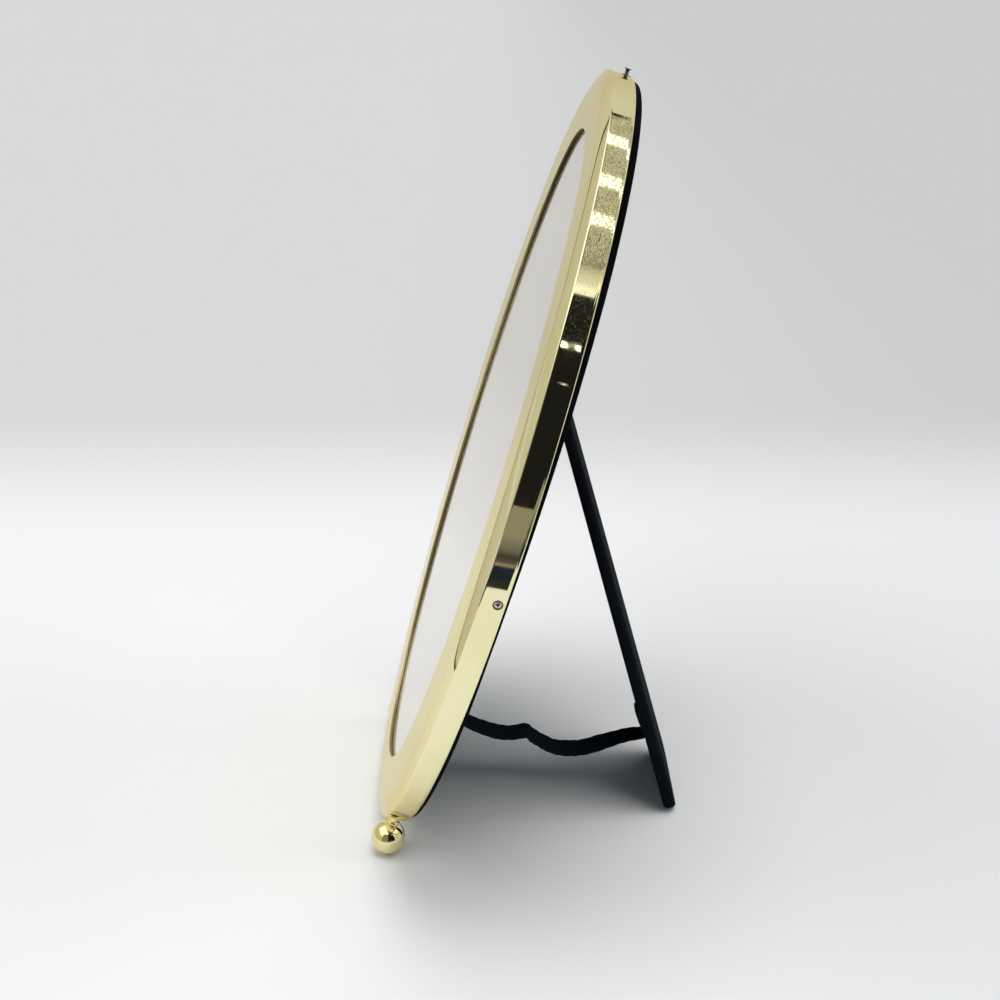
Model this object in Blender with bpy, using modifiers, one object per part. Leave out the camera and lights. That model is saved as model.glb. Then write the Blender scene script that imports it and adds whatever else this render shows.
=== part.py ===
"""An oval picture frame that stands on two ball feet and an easel strut.

A pressed brass front with a crowned edge and a deep band holds the glass, a blank card and a
velvet-covered board. Four small screws go through the band into the board. A velvet-covered strut
hinges on the board, and a slack ribbon joins the two near the floor.

Metres, +Z up. The front faces -Y. The origin is on the floor, under the middle of the object.
The front's pieces are modelled lying flat, with X across, Y up the oval and Z towards the viewer,
under an empty that stands them up and leans them back. Z is 0 at the front edge of the band.
"""

import math

import bmesh
import bpy
from mathutils import Matrix, Vector

# Stance
LEAN = math.radians(17.0)
STRUT_OPEN = math.radians(32.5)

# Oval front
OVAL_WIDTH = 0.156
OVAL_HEIGHT = 0.210
OVAL_STEPS = 128
FACE_AT_SIDES = 0.019
FACE_AT_ENDS = 0.015
SHEET = 0.0008
BAND_DEPTH = 0.0059
FACE_PROUD = 0.0014
CROWN_WIDTH = 0.0052
CROWN_SLOPE = math.radians(29.0)
CROWN_STEPS = 8
EDGE_RADIUS = 0.00045
LIP_ROUNDING = 0.0002
REAR_CHAMFER = 0.00025

# Clearances
SIDE_GAP = 0.0003
FIT_GAP = 0.0003
GLASS_GAP = 0.00015
CARD_GAP = 0.0002
CLOTH_GAP = 0.0002
HOLE_GAP = 0.0001
SEAT_GAP = 0.0001

# What the front holds
GLASS_THICK = 0.0015
INSERT_THICK = 0.0005
BOARD_THICK = 0.00425
VELVET_REAR = 0.0007
VELVET_WRAP = 0.0005
VELVET_ROUNDING = 0.00045

# Rim screws
SCREW_DEPTH = 0.0041
SCREW_HEAD_DIAMETER = 0.0019
SCREW_HEAD_HEIGHT = 0.0005
SCREW_SHANK_DIAMETER = 0.0009
SCREW_LENGTH = 0.0055
SCREW_POINT = 0.0010
SCREW_SUNK = 0.00025
TOP_SCREW_PROUD = 0.0017
CROSS_SPAN = 0.0011
CROSS_WIDTH = 0.00028
CROSS_DEPTH = 0.00032

# Ball feet
FOOT_SPREAD = 0.063
FOOT_DEPTH = 0.0039
FOOT_GAP = 0.0024
BALL_DIAMETER = 0.0095
BALL_FLAT_DIAMETER = 0.0024
BEAD_DIAMETER = 0.0036
BEAD_HEIGHT = 0.0014
NECK_DIAMETER = 0.0026
STUD_DIAMETER = 0.0014
STUD_IN_BALL = 0.0035
STUD_IN_BAND = 0.0005

# Hinge
HINGE_HEIGHT = 0.0302
PIN_DIAMETER = 0.0011
PIN_CLEARANCE = 0.0001
PIN_END = 0.0004
KNUCKLE_DIAMETER = 0.0024
KNUCKLE_LENGTH = 0.0048
KNUCKLE_GAP = 0.0003
LEAF_THICK = 0.0006
LEAF_LENGTH = 0.0130
LEAF_CORNER = 0.0015
RIVET_SPREAD = 0.0090
RIVET_OFFSET = 0.0080
RIVET_HEAD_DIAMETER = 0.0030
RIVET_HEAD_HEIGHT = 0.0007
RIVET_SHANK_DIAMETER = 0.0012
RIVET_BLIND = 0.0006

# Strut
STRUT_TOP_WIDTH = 0.0260
STRUT_FOOT_WIDTH = 0.0320
STRUT_CORE = 0.0015
STRUT_VELVET = 0.00045
STRUT_ROUNDING = 0.0009
STRUT_FOOT_CORNER = 0.0050
STRUT_TOP_CORNER = 0.0022
STRUT_FOOT_CUT = 0.0003
STOP_GAP = 0.0003
HINGE_NOTCH_GAP = 0.0006

# Ribbon
RIBBON_WIDTH = 0.0060
RIBBON_THICK = 0.0008
RIBBON_ON_BOARD = 0.0792
RIBBON_UP_STRUT = 0.0188
RIBBON_TAB = 0.0090
RIBBON_DROP = 0.0083
# How far the slack ribbon hangs below a straight line, as shares of its deepest drop, by the
# share of the way to the strut
RIBBON_SAG = (
    (0.074, 0.08),
    (0.155, 0.34),
    (0.209, 0.49),
    (0.293, 0.64),
    (0.366, 0.63),
    (0.441, 0.46),
    (0.466, 0.59),
    (0.502, 0.75),
    (0.522, 0.83),
    (0.582, 1.00),
    (0.658, 0.98),
    (0.731, 0.84),
    (0.844, 0.43),
    (0.934, 0.11),
)
RIBBON_STEPS = 3

# Worked out from the values above
HALF_WIDTH = OVAL_WIDTH / 2
HALF_HEIGHT = OVAL_HEIGHT / 2
OPENING_HALF_WIDTH = HALF_WIDTH - FACE_AT_SIDES
OPENING_HALF_HEIGHT = HALF_HEIGHT - FACE_AT_ENDS
FACE_REAR = FACE_PROUD - SHEET
GLASS_FRONT = FACE_REAR - GLASS_GAP
INSERT_FRONT = GLASS_FRONT - GLASS_THICK - CARD_GAP
BOARD_FRONT = INSERT_FRONT - INSERT_THICK - CARD_GAP
BOARD_REAR = BOARD_FRONT - BOARD_THICK
VELVET_INNER = BOARD_REAR - CLOTH_GAP
BACK = VELVET_INNER - VELVET_REAR
FILL_INSET = SHEET + SIDE_GAP
BOARD_INSET = FILL_INSET + VELVET_WRAP + CLOTH_GAP
BALL_RADIUS = BALL_DIAMETER / 2
BALL_FLAT_HEIGHT = math.sqrt(BALL_RADIUS**2 - (BALL_FLAT_DIAMETER / 2) ** 2)
FOOT_X = FOOT_SPREAD / 2
BAND_AT_FOOT = -HALF_HEIGHT * math.sqrt(1 - (FOOT_X / HALF_WIDTH) ** 2)
BALL_FLAT_Y = BAND_AT_FOOT - FOOT_GAP
BALL_Y = BALL_FLAT_Y - BALL_FLAT_HEIGHT
KNUCKLE_RADIUS = KNUCKLE_DIAMETER / 2
PIN_STAND = KNUCKLE_RADIUS + FIT_GAP
PIN_Z = BACK - PIN_STAND
HINGE_WIDTH = 3 * KNUCKLE_LENGTH + 2 * KNUCKLE_GAP
STRUT_FRONT = KNUCKLE_RADIUS - LEAF_THICK - FIT_GAP
STRUT_REAR = STRUT_FRONT - STRUT_CORE - 2 * (STRUT_VELVET + CLOTH_GAP)
BETA = STRUT_OPEN - LEAN
# The crown starts where the rounding of the band's front edge has turned to the crown's slope
CROWN_INSET = EDGE_RADIUS * (1 - math.sin(CROWN_SLOPE))
CROWN_FOOT = -EDGE_RADIUS * (1 - math.cos(CROWN_SLOPE))
# The glass and the card lie under the flat of the face, inside the crown
GLASS_INSET = CROWN_INSET + CROWN_WIDTH + SIDE_GAP


def rise(y, z):
    """How high a point of the leaning front stands above the oval's centre."""
    return y * math.cos(LEAN) + z * math.sin(LEAN)


def reach(y, z):
    """How far behind the oval's centre a point of the leaning front lies."""
    return y * math.sin(LEAN) - z * math.cos(LEAN)


CENTRE_HEIGHT = BALL_RADIUS - rise(BALL_Y, -FOOT_DEPTH)
PIN_HEIGHT = CENTRE_HEIGHT + rise(HINGE_HEIGHT, PIN_Z)
# The foot's rounded front edge, less the sliver that stands flat, meets the floor
STRUT_LENGTH = STRUT_ROUNDING + (
    PIN_HEIGHT + STRUT_FOOT_CUT - STRUT_ROUNDING - (STRUT_FRONT - STRUT_ROUNDING) * math.sin(BETA)
) / math.cos(BETA)
# The strut's rounded heel meets the board when the strut is open
STRUT_HEEL = STRUT_ROUNDING + (
    PIN_STAND - STOP_GAP - STRUT_ROUNDING - (STRUT_FRONT - STRUT_ROUNDING) * math.cos(STRUT_OPEN)
) / math.sin(STRUT_OPEN)
FRONT_REACH = reach(BALL_Y, -FOOT_DEPTH) - BALL_RADIUS
REAR_REACH = (
    reach(HINGE_HEIGHT, PIN_Z)
    + (STRUT_LENGTH - STRUT_ROUNDING) * math.sin(BETA)
    - (STRUT_REAR + STRUT_ROUNDING) * math.cos(BETA)
    + STRUT_ROUNDING
)
CENTRE_Y = -(FRONT_REACH + REAR_REACH) / 2


def clear_scene():
    for obj in list(bpy.data.objects):
        bpy.data.objects.remove(obj, do_unlink=True)


def new_collection(name):
    collection = bpy.data.collections.new(name)
    bpy.context.scene.collection.children.link(collection)
    return collection


clear_scene()
PARTS = new_collection("oval_picture_frame")
CUTTERS = new_collection("cutters")


def new_empty(name, location, turn, parent=None):
    empty = bpy.data.objects.new(name, None)
    PARTS.objects.link(empty)
    empty.parent = parent
    empty.location = location
    empty.rotation_euler = (turn, 0, 0)
    return empty


FRONT_AXES = new_empty("front_axes", (0, CENTRE_Y, CENTRE_HEIGHT), math.pi / 2 - LEAN)
STRUT_AXES = new_empty("strut_axes", (0, HINGE_HEIGHT, PIN_Z), STRUT_OPEN, FRONT_AXES)


def new_material(name, colour, metallic, roughness, alpha=1.0):
    material = bpy.data.materials.new(name)
    material.use_nodes = True
    shader = material.node_tree.nodes["Principled BSDF"]
    shader.inputs["Base Color"].default_value = (*colour, 1)
    shader.inputs["Metallic"].default_value = metallic
    shader.inputs["Roughness"].default_value = roughness
    shader.inputs["Alpha"].default_value = alpha
    return material


POLISHED_BRASS = new_material("polished_brass", (0.83, 0.73, 0.38), 1.0, 0.08)
TURNED_BRASS = new_material("turned_brass", (0.80, 0.68, 0.33), 1.0, 0.12)
CLEAR_GLASS = new_material("clear_glass", (0.95, 0.97, 0.96), 0.0, 0.03, 0.35)
WHITE_CARD = new_material("white_card", (0.90, 0.90, 0.88), 0.0, 0.80)
HARDBOARD = new_material("hardboard", (0.24, 0.15, 0.08), 0.0, 0.75)
BLACK_VELVET = new_material("black_velvet", (0.008, 0.009, 0.014), 0.0, 0.95)
BLACK_RIBBON = new_material("black_ribbon", (0.010, 0.011, 0.016), 0.0, 0.85)
SCREW_STEEL = new_material("screw_steel", (0.62, 0.56, 0.54), 1.0, 0.30)
HINGE_STEEL = new_material("hinge_steel", (0.60, 0.50, 0.24), 1.0, 0.28)
RIVET_STEEL = new_material("rivet_steel", (0.62, 0.52, 0.26), 1.0, 0.22)


def add_object(name, mesh, collection, parent):
    obj = bpy.data.objects.new(name, mesh)
    collection.objects.link(obj)
    obj.parent = parent
    return obj


def as_part(obj, material, smooth=True):
    obj.data.materials.clear()
    obj.data.materials.append(material)
    if smooth:
        obj.data.shade_smooth()
        obj.data.set_sharp_from_angle(angle=math.radians(35))
    return obj


def as_cutter(obj):
    obj.hide_render = True
    obj.display_type = "WIRE"
    return obj


def cut(obj, cutter):
    modifier = obj.modifiers.new(f"cut {cutter.name}", "BOOLEAN")
    modifier.operation = "DIFFERENCE"
    modifier.solver = "EXACT"
    modifier.object = cutter


def join(obj, other):
    modifier = obj.modifiers.new(f"join {other.name}", "BOOLEAN")
    modifier.operation = "UNION"
    modifier.solver = "EXACT"
    modifier.object = other


def curve_spline(name, points, closed):
    """A curve whose one straight-sided spline runs through flat points."""
    curve = bpy.data.curves.new(name, "CURVE")
    spline = curve.splines.new("POLY")
    spline.points.add(len(points) - 1)
    for point, (x, y) in zip(spline.points, points):
        point.co = (x, y, 0, 1)
    spline.use_cyclic_u = closed
    return curve


def curve_to_mesh(obj, collection, parent):
    """The curve object's shape as a welded mesh that faces out, under the same name and place."""
    bpy.context.view_layer.update()
    evaluated = obj.evaluated_get(bpy.context.evaluated_depsgraph_get())
    mesh = bpy.data.meshes.new_from_object(evaluated)
    name = obj.name
    local = obj.matrix_local.copy()
    curve = obj.data
    bpy.data.objects.remove(obj, do_unlink=True)
    bpy.data.curves.remove(curve)
    shape = bmesh.new()
    shape.from_mesh(mesh)
    bmesh.ops.remove_doubles(shape, verts=shape.verts, dist=1e-6)
    bmesh.ops.recalc_face_normals(shape, faces=shape.faces)
    shape.to_mesh(mesh)
    shape.free()
    mesh.name = name
    made = add_object(name, mesh, collection, parent)
    made.matrix_local = local
    return made


def plate(name, outline, low, high, parent, collection=PARTS, rounding=0.0):
    """A flat plate of this outline from z low to z high, its long edges rounded."""
    curve = curve_spline(name, outline, True)
    curve.dimensions = "2D"
    curve.fill_mode = "BOTH"
    curve.extrude = (high - low) / 2 - rounding
    if rounding:
        curve.bevel_depth = rounding
        curve.bevel_resolution = 2
        curve.offset = -rounding
    obj = add_object(name, curve, collection, parent)
    obj.location = (0, 0, (low + high) / 2)
    return curve_to_mesh(obj, collection, parent)


def oval(inset):
    """Points round the oval, this far inside its outer edge."""
    wide = HALF_WIDTH - inset
    high = HALF_HEIGHT - inset
    turns = [math.tau * step / OVAL_STEPS for step in range(OVAL_STEPS)]
    return [(wide * math.cos(turn), high * math.sin(turn)) for turn in turns]


def rounded(corners, steps=6):
    """An outline through (x, y, radius) corners, each rounded by its own radius."""
    points = []
    for index, (x, y, radius) in enumerate(corners):
        here = Vector((x, y))
        before = Vector(corners[index - 1][:2]) - here
        after = Vector(corners[(index + 1) % len(corners)][:2]) - here
        if radius == 0:
            points.append((x, y))
            continue
        half = before.angle(after) / 2
        middle = here + (before.normalized() + after.normalized()).normalized() * radius / math.sin(half)
        start = here + before.normalized() * radius / math.tan(half) - middle
        end = here + after.normalized() * radius / math.tan(half) - middle
        sweep = start.angle_signed(end)
        for step in range(steps + 1):
            points.append(tuple(middle + Matrix.Rotation(-sweep * step / steps, 2) @ start))
    return points


def box(name, low, high, parent, collection=PARTS):
    """A block between two corners."""
    shape = bmesh.new()
    bmesh.ops.create_cube(shape, size=1)
    size = Vector(high) - Vector(low)
    bmesh.ops.scale(shape, vec=size, verts=shape.verts)
    mesh = bpy.data.meshes.new(name)
    shape.to_mesh(mesh)
    shape.free()
    obj = add_object(name, mesh, collection, parent)
    obj.location = (Vector(low) + Vector(high)) / 2
    return obj


def rod(name, radius, length, place, parent, collection=PARTS, along="X", steps=24):
    """A cylinder, centred on its place."""
    shape = bmesh.new()
    bmesh.ops.create_cone(
        shape, cap_ends=True, segments=steps, radius1=radius, radius2=radius, depth=length
    )
    turn = {"X": Matrix.Rotation(math.pi / 2, 3, "Y"), "Y": Matrix.Rotation(math.pi / 2, 3, "X")}
    if along in turn:
        bmesh.ops.rotate(shape, cent=(0, 0, 0), matrix=turn[along], verts=shape.verts)
    mesh = bpy.data.meshes.new(name)
    shape.to_mesh(mesh)
    shape.free()
    obj = add_object(name, mesh, collection, parent)
    obj.location = place
    return obj


def turned(name, profile, parent, collection=PARTS, steps=24):
    """A turned piece: its profile, from the top down the outer side, round its own Z axis."""
    mesh = bpy.data.meshes.new(name)
    links = [(index, index + 1) for index in range(len(profile) - 1)]
    mesh.from_pydata([(radius, 0, height) for radius, height in profile], links, [])
    obj = add_object(name, mesh, collection, parent)
    turn = obj.modifiers.new("turn", "SCREW")
    turn.angle = math.tau
    turn.steps = turn.render_steps = steps
    turn.use_merge_vertices = True
    turn.merge_threshold = 1e-6
    turn.use_smooth_shade = True
    return obj


def arc(centre, radius, start, end, steps):
    """Profile points on a quarter or other stretch of a circle, angles in degrees."""
    points = []
    for step in range(steps + 1):
        angle = math.radians(start + (end - start) * step / steps)
        points.append((centre[0] + radius * math.cos(angle), centre[1] + radius * math.sin(angle)))
    return points


# Front frame


def oval_inside(inset, z):
    """A ring this far inside the outer edge, as (half width, half height, z)."""
    return (HALF_WIDTH - inset, HALF_HEIGHT - inset, z)


def oval_round_opening(outset, z):
    """A ring this far outside the opening."""
    return (OPENING_HALF_WIDTH + outset, OPENING_HALF_HEIGHT + outset, z)


def crown_ring(share, below=0.0):
    """A ring this share of the way up the crown, or this far below it."""
    z = CROWN_FOOT + (FACE_PROUD - CROWN_FOOT) * (1 - (1 - share) ** 2)
    return oval_inside(CROWN_INSET + CROWN_WIDTH * share, z - below)


def front_rings():
    """The rings round the pressed sheet's section, from the opening's rear edge and on outwards."""
    lip = arc((LIP_ROUNDING, FACE_PROUD - LIP_ROUNDING), LIP_ROUNDING, 180, 90, 2)
    edge = arc((EDGE_RADIUS, -EDGE_RADIUS), EDGE_RADIUS, 90 + math.degrees(CROWN_SLOPE), 180, 3)
    rings = [oval_round_opening(0, FACE_REAR)]
    rings += [oval_round_opening(outset, z) for outset, z in lip]
    rings += [crown_ring(step / CROWN_STEPS) for step in range(CROWN_STEPS, 0, -1)]
    rings += [oval_inside(inset, z) for inset, z in edge]
    rings += [oval_inside(0, REAR_CHAMFER - BAND_DEPTH), oval_inside(REAR_CHAMFER, -BAND_DEPTH)]
    rings += [oval_inside(SHEET, -BAND_DEPTH), oval_inside(SHEET, CROWN_FOOT - SHEET)]
    rings += [crown_ring(share, below=SHEET) for share in (0.3, 0.6, 1.0)]
    return rings


def oval_loft(name, rings, collection, parent):
    """A closed loop of ovals of unlike widths and heights, joined ring to ring."""
    turns = [math.tau * step / OVAL_STEPS for step in range(OVAL_STEPS)]
    points = [(wide * math.cos(t), high * math.sin(t), z) for wide, high, z in rings for t in turns]
    faces = []
    for ring in range(len(rings)):
        here = ring * OVAL_STEPS
        there = (ring + 1) % len(rings) * OVAL_STEPS
        for step in range(OVAL_STEPS):
            after = (step + 1) % OVAL_STEPS
            faces.append((here + step, here + after, there + after, there + step))
    mesh = bpy.data.meshes.new(name)
    mesh.from_pydata(points, [], faces)
    shape = bmesh.new()
    shape.from_mesh(mesh)
    bmesh.ops.recalc_face_normals(shape, faces=shape.faces)
    shape.to_mesh(mesh)
    shape.free()
    return add_object(name, mesh, collection, parent)


def make_front_frame():
    return as_part(oval_loft("front_frame", front_rings(), PARTS, FRONT_AXES), POLISHED_BRASS)


# What the front holds


def make_glass():
    low = GLASS_FRONT - GLASS_THICK
    return as_part(plate("glass_pane", oval(GLASS_INSET), low, GLASS_FRONT, FRONT_AXES), CLEAR_GLASS)


def make_insert():
    low = INSERT_FRONT - INSERT_THICK
    return as_part(plate("picture_insert", oval(GLASS_INSET), low, INSERT_FRONT, FRONT_AXES), WHITE_CARD)


def make_back_board():
    return as_part(plate("back_board", oval(BOARD_INSET), BOARD_REAR, BOARD_FRONT, FRONT_AXES), HARDBOARD)


def make_back_velvet():
    """Velvet over the board's back and edge, open at the front."""
    front = BOARD_FRONT
    skin = plate(
        "back_velvet", oval(FILL_INSET), BACK, front + VELVET_ROUNDING, FRONT_AXES, rounding=VELVET_ROUNDING
    )
    hollow = plate(
        "board_hollow", oval(BOARD_INSET - CLOTH_GAP), VELVET_INNER, front + SHEET, FRONT_AXES, CUTTERS
    )
    margin = box(
        "velvet_trim",
        (-HALF_WIDTH, -HALF_HEIGHT, front),
        (HALF_WIDTH, HALF_HEIGHT, front + SHEET),
        FRONT_AXES,
        CUTTERS,
    )
    cut(skin, as_cutter(hollow))
    cut(skin, as_cutter(margin))
    return as_part(skin, BLACK_VELVET)


# Rim screws


def screw_places():
    """Name, place on the band's outer face, turn that faces it outwards, and how far it stands out."""
    z = -SCREW_DEPTH
    return (
        ("top", (0, HALF_HEIGHT, z), (-math.pi / 2, 0, 0), TOP_SCREW_PROUD),
        ("bottom", (0, -HALF_HEIGHT, z), (math.pi / 2, 0, 0), -SCREW_SUNK),
        ("right", (HALF_WIDTH, 0, z), (0, math.pi / 2, 0), -SCREW_SUNK),
        ("left", (-HALF_WIDTH, 0, z), (0, -math.pi / 2, 0), -SCREW_SUNK),
    )


def place_along(obj, place, turn, out):
    """Stands a turned piece on its place, its own Z axis outwards, moved out by this much."""
    obj.rotation_euler = turn
    outward = obj.rotation_euler.to_matrix() @ Vector((0, 0, 1))
    obj.location = Vector(place) + outward * out


def make_rim_screw(name, place, turn, out):
    head = SCREW_HEAD_DIAMETER / 2
    shank = SCREW_SHANK_DIAMETER / 2
    profile = [
        (0, 0),
        (head, 0),
        (shank, -SCREW_HEAD_HEIGHT),
        (shank, -SCREW_LENGTH + SCREW_POINT),
        (0, -SCREW_LENGTH),
    ]
    screw = turned(f"rim_screw_{name}", profile, FRONT_AXES, steps=20)
    place_along(screw, place, turn, out)
    for index, (span_x, span_y) in enumerate(((CROSS_SPAN, CROSS_WIDTH), (CROSS_WIDTH, CROSS_SPAN))):
        half_x = span_x / 2
        half_y = span_y / 2
        slot = box(
            f"cross_{name}_{index}",
            (-half_x, -half_y, -CROSS_DEPTH),
            (half_x, half_y, CROSS_DEPTH),
            screw,
            CUTTERS,
        )
        cut(screw, as_cutter(slot))
    return as_part(screw, SCREW_STEEL)


def make_screw_hole(name, place, turn):
    """The cutter for a sunk hole through the band and on into the board."""
    head = SCREW_HEAD_DIAMETER / 2 + HOLE_GAP
    shank = SCREW_SHANK_DIAMETER / 2 + HOLE_GAP
    seat = -SCREW_SUNK - HOLE_GAP
    profile = [
        (0, SHEET),
        (head, SHEET),
        (head, seat),
        (shank, seat - SCREW_HEAD_HEIGHT),
        (shank, seat - SCREW_LENGTH),
        (0, seat - SCREW_LENGTH),
    ]
    hole = turned(f"screw_hole_{name}", profile, FRONT_AXES, CUTTERS, steps=20)
    place_along(hole, place, turn, 0)
    return as_cutter(hole)


def make_rim_screws(front, velvet, board):
    for name, place, turn, out in screw_places():
        make_rim_screw(name, place, turn, out)
        hole = make_screw_hole(name, place, turn)
        for piece in (front, velvet, board):
            cut(piece, hole)


# Ball feet: each stands down from the band, its own Z axis up the oval


def stand_foot(obj, x, y):
    obj.rotation_euler = (-math.pi / 2, 0, 0)
    obj.location = (x, y, -FOOT_DEPTH)
    return obj


def make_ball(name, x):
    hole = STUD_DIAMETER / 2 + HOLE_GAP
    depth = STUD_IN_BALL + HOLE_GAP
    flat_angle = math.degrees(math.asin(BALL_FLAT_HEIGHT / BALL_RADIUS))
    profile = [(0, -depth), (hole, -depth), (hole, 0)]
    profile += arc((0, -BALL_FLAT_HEIGHT), BALL_RADIUS, flat_angle, -90, 18)
    profile[-1] = (0, -BALL_FLAT_HEIGHT - BALL_RADIUS)
    ball = stand_foot(turned(f"ball_foot_{name}", profile, FRONT_AXES, steps=32), x, BALL_FLAT_Y)
    return as_part(ball, TURNED_BRASS)


def make_collar(name, x, band_cutter):
    bore = STUD_DIAMETER / 2 + HOLE_GAP
    neck = NECK_DIAMETER / 2
    round_off = BEAD_HEIGHT / 2
    bead = BEAD_DIAMETER / 2 - round_off
    top = FOOT_GAP + NECK_DIAMETER
    outside = [(neck, top)]
    outside += arc((bead, SEAT_GAP + round_off), round_off, 75, -90, 7)
    profile = [(bore, top), *outside, (bore, SEAT_GAP), (bore, top)]
    collar = stand_foot(turned(f"foot_collar_{name}", profile, FRONT_AXES, steps=24), x, BALL_FLAT_Y)
    cut(collar, band_cutter)
    return as_part(collar, TURNED_BRASS)


def make_stud(name, x):
    """The stud runs from inside the ball to the middle of the band's wall."""
    low = BALL_FLAT_Y - STUD_IN_BALL
    high = BAND_AT_FOOT + STUD_IN_BAND
    stud = rod(
        f"foot_stud_{name}",
        STUD_DIAMETER / 2,
        high - low,
        (x, (low + high) / 2, -FOOT_DEPTH),
        FRONT_AXES,
        along="Y",
        steps=16,
    )
    return as_part(stud, SCREW_STEEL)


def make_feet(front):
    band_cutter = as_cutter(
        plate("band_clearance", oval(-SEAT_GAP), -BAND_DEPTH - SHEET, FACE_PROUD, FRONT_AXES, CUTTERS)
    )
    for name, x in (("right", FOOT_X), ("left", -FOOT_X)):
        make_ball(name, x)
        make_collar(name, x, band_cutter)
        make_stud(name, x)
        hole = rod(
            f"stud_hole_{name}",
            STUD_DIAMETER / 2 + HOLE_GAP,
            6 * SHEET,
            (x, BAND_AT_FOOT, -FOOT_DEPTH),
            FRONT_AXES,
            CUTTERS,
            along="Y",
            steps=16,
        )
        cut(front, as_cutter(hole))


# Hinge: a leaf on the board, a leaf on the strut and a pin through their knuckles


def knuckle_spans():
    """The three knuckles' low and high ends along X: left, middle and right."""
    middles = [side * (KNUCKLE_LENGTH + KNUCKLE_GAP) for side in (-1, 0, 1)]
    return [(middle - KNUCKLE_LENGTH / 2, middle + KNUCKLE_LENGTH / 2) for middle in middles]


def make_leaf(name, parent, place, up, own):
    """A leaf whose plate runs up or down from the pin and whose own knuckles wrap round it."""
    half = HINGE_WIDTH / 2
    far = up * LEAF_LENGTH
    outline = rounded([(-half, 0, 0), (half, 0, 0), (half, far, LEAF_CORNER), (-half, far, LEAF_CORNER)])
    leaf = plate(name, outline, KNUCKLE_RADIUS - LEAF_THICK, KNUCKLE_RADIUS, parent)
    leaf.location += Vector(place)
    reach_past = KNUCKLE_RADIUS + KNUCKLE_GAP
    for index, (low, high) in enumerate(knuckle_spans()):
        middle = Vector(((low + high) / 2, 0, 0)) + Vector(place)
        if index in own:
            knuckle = rod(f"{name}_knuckle_{index}", KNUCKLE_RADIUS, high - low, middle, parent, CUTTERS)
            join(leaf, as_cutter(knuckle))
            continue
        room = box(
            f"{name}_room_{index}",
            Vector((low - KNUCKLE_GAP, -reach_past, -reach_past)) + Vector(place),
            Vector((high + KNUCKLE_GAP, reach_past, reach_past)) + Vector(place),
            parent,
            CUTTERS,
        )
        cut(leaf, as_cutter(room))
    bore = rod(
        f"{name}_bore", PIN_DIAMETER / 2 + PIN_CLEARANCE, 2 * HINGE_WIDTH, Vector(place), parent, CUTTERS
    )
    cut(leaf, as_cutter(bore))
    return as_part(leaf, HINGE_STEEL)


def rivet_profile(length):
    """A domed head above 0 and a shank of this length below it."""
    head = RIVET_HEAD_DIAMETER / 2
    shank = RIVET_SHANK_DIAMETER / 2
    angles = [math.radians(angle) for angle in range(0, 91, 15)]
    dome = [(head * math.sin(angle), RIVET_HEAD_HEIGHT * math.cos(angle)) for angle in angles]
    return [*dome, (shank, 0), (shank, -length), (0, -length)]


def make_rivets(kind, parent, place, face_z, length, past, pieces):
    """A pair of rivets whose heads lie on the plane face_z, and holes that run on past their ends."""
    for name, side in (("right", 1), ("left", -1)):
        spot = Vector((side * RIVET_SPREAD / 2, place, face_z))
        rivet = turned(f"{kind}_rivet_{name}", rivet_profile(length), parent, steps=20)
        rivet.rotation_euler = (math.pi, 0, 0)
        rivet.location = spot
        as_part(rivet, RIVET_STEEL)
        hole = rod(
            f"{kind}_rivet_hole_{name}",
            RIVET_SHANK_DIAMETER / 2 + HOLE_GAP,
            2 * (length + past),
            spot,
            parent,
            CUTTERS,
            along="Z",
            steps=20,
        )
        for piece in pieces:
            cut(piece, as_cutter(hole))


def make_hinge(velvet, board, strut_velvet, strut_board):
    pin_place = (0, HINGE_HEIGHT, PIN_Z)
    board_leaf = make_leaf("hinge_board_leaf", FRONT_AXES, pin_place, 1, (0, 2))
    strut_leaf = make_leaf("hinge_strut_leaf", STRUT_AXES, (0, 0, 0), -1, (1,))
    pin = rod("hinge_pin", PIN_DIAMETER / 2, HINGE_WIDTH + 2 * PIN_END, pin_place, FRONT_AXES)
    as_part(pin, RIVET_STEEL)
    board_face = PIN_Z + KNUCKLE_RADIUS - LEAF_THICK - SEAT_GAP
    into_board = BOARD_FRONT - RIVET_BLIND - board_face
    make_rivets(
        "board",
        FRONT_AXES,
        HINGE_HEIGHT + RIVET_OFFSET,
        board_face,
        into_board,
        HOLE_GAP,
        (board_leaf, velvet, board),
    )
    strut_face = STRUT_REAR - SEAT_GAP
    through_strut = KNUCKLE_RADIUS - strut_face - SEAT_GAP
    make_rivets(
        "strut",
        STRUT_AXES,
        -RIVET_OFFSET,
        strut_face,
        through_strut,
        SHEET,
        (strut_leaf, strut_velvet, strut_board),
    )


# Strut


def strut_outline(inset, top_extra=0.0):
    """The strut's tapered outline, this far inside its outer edge."""
    top = STRUT_TOP_WIDTH / 2 - inset
    foot = STRUT_FOOT_WIDTH / 2 - inset
    high = STRUT_HEEL - inset + top_extra
    low = -STRUT_LENGTH + inset
    top_corner = STRUT_TOP_CORNER - inset
    foot_corner = STRUT_FOOT_CORNER - inset
    corners = [
        (top, high, top_corner),
        (-top, high, top_corner),
        (-foot, low, foot_corner),
        (foot, low, foot_corner),
    ]
    return rounded(corners)


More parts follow.
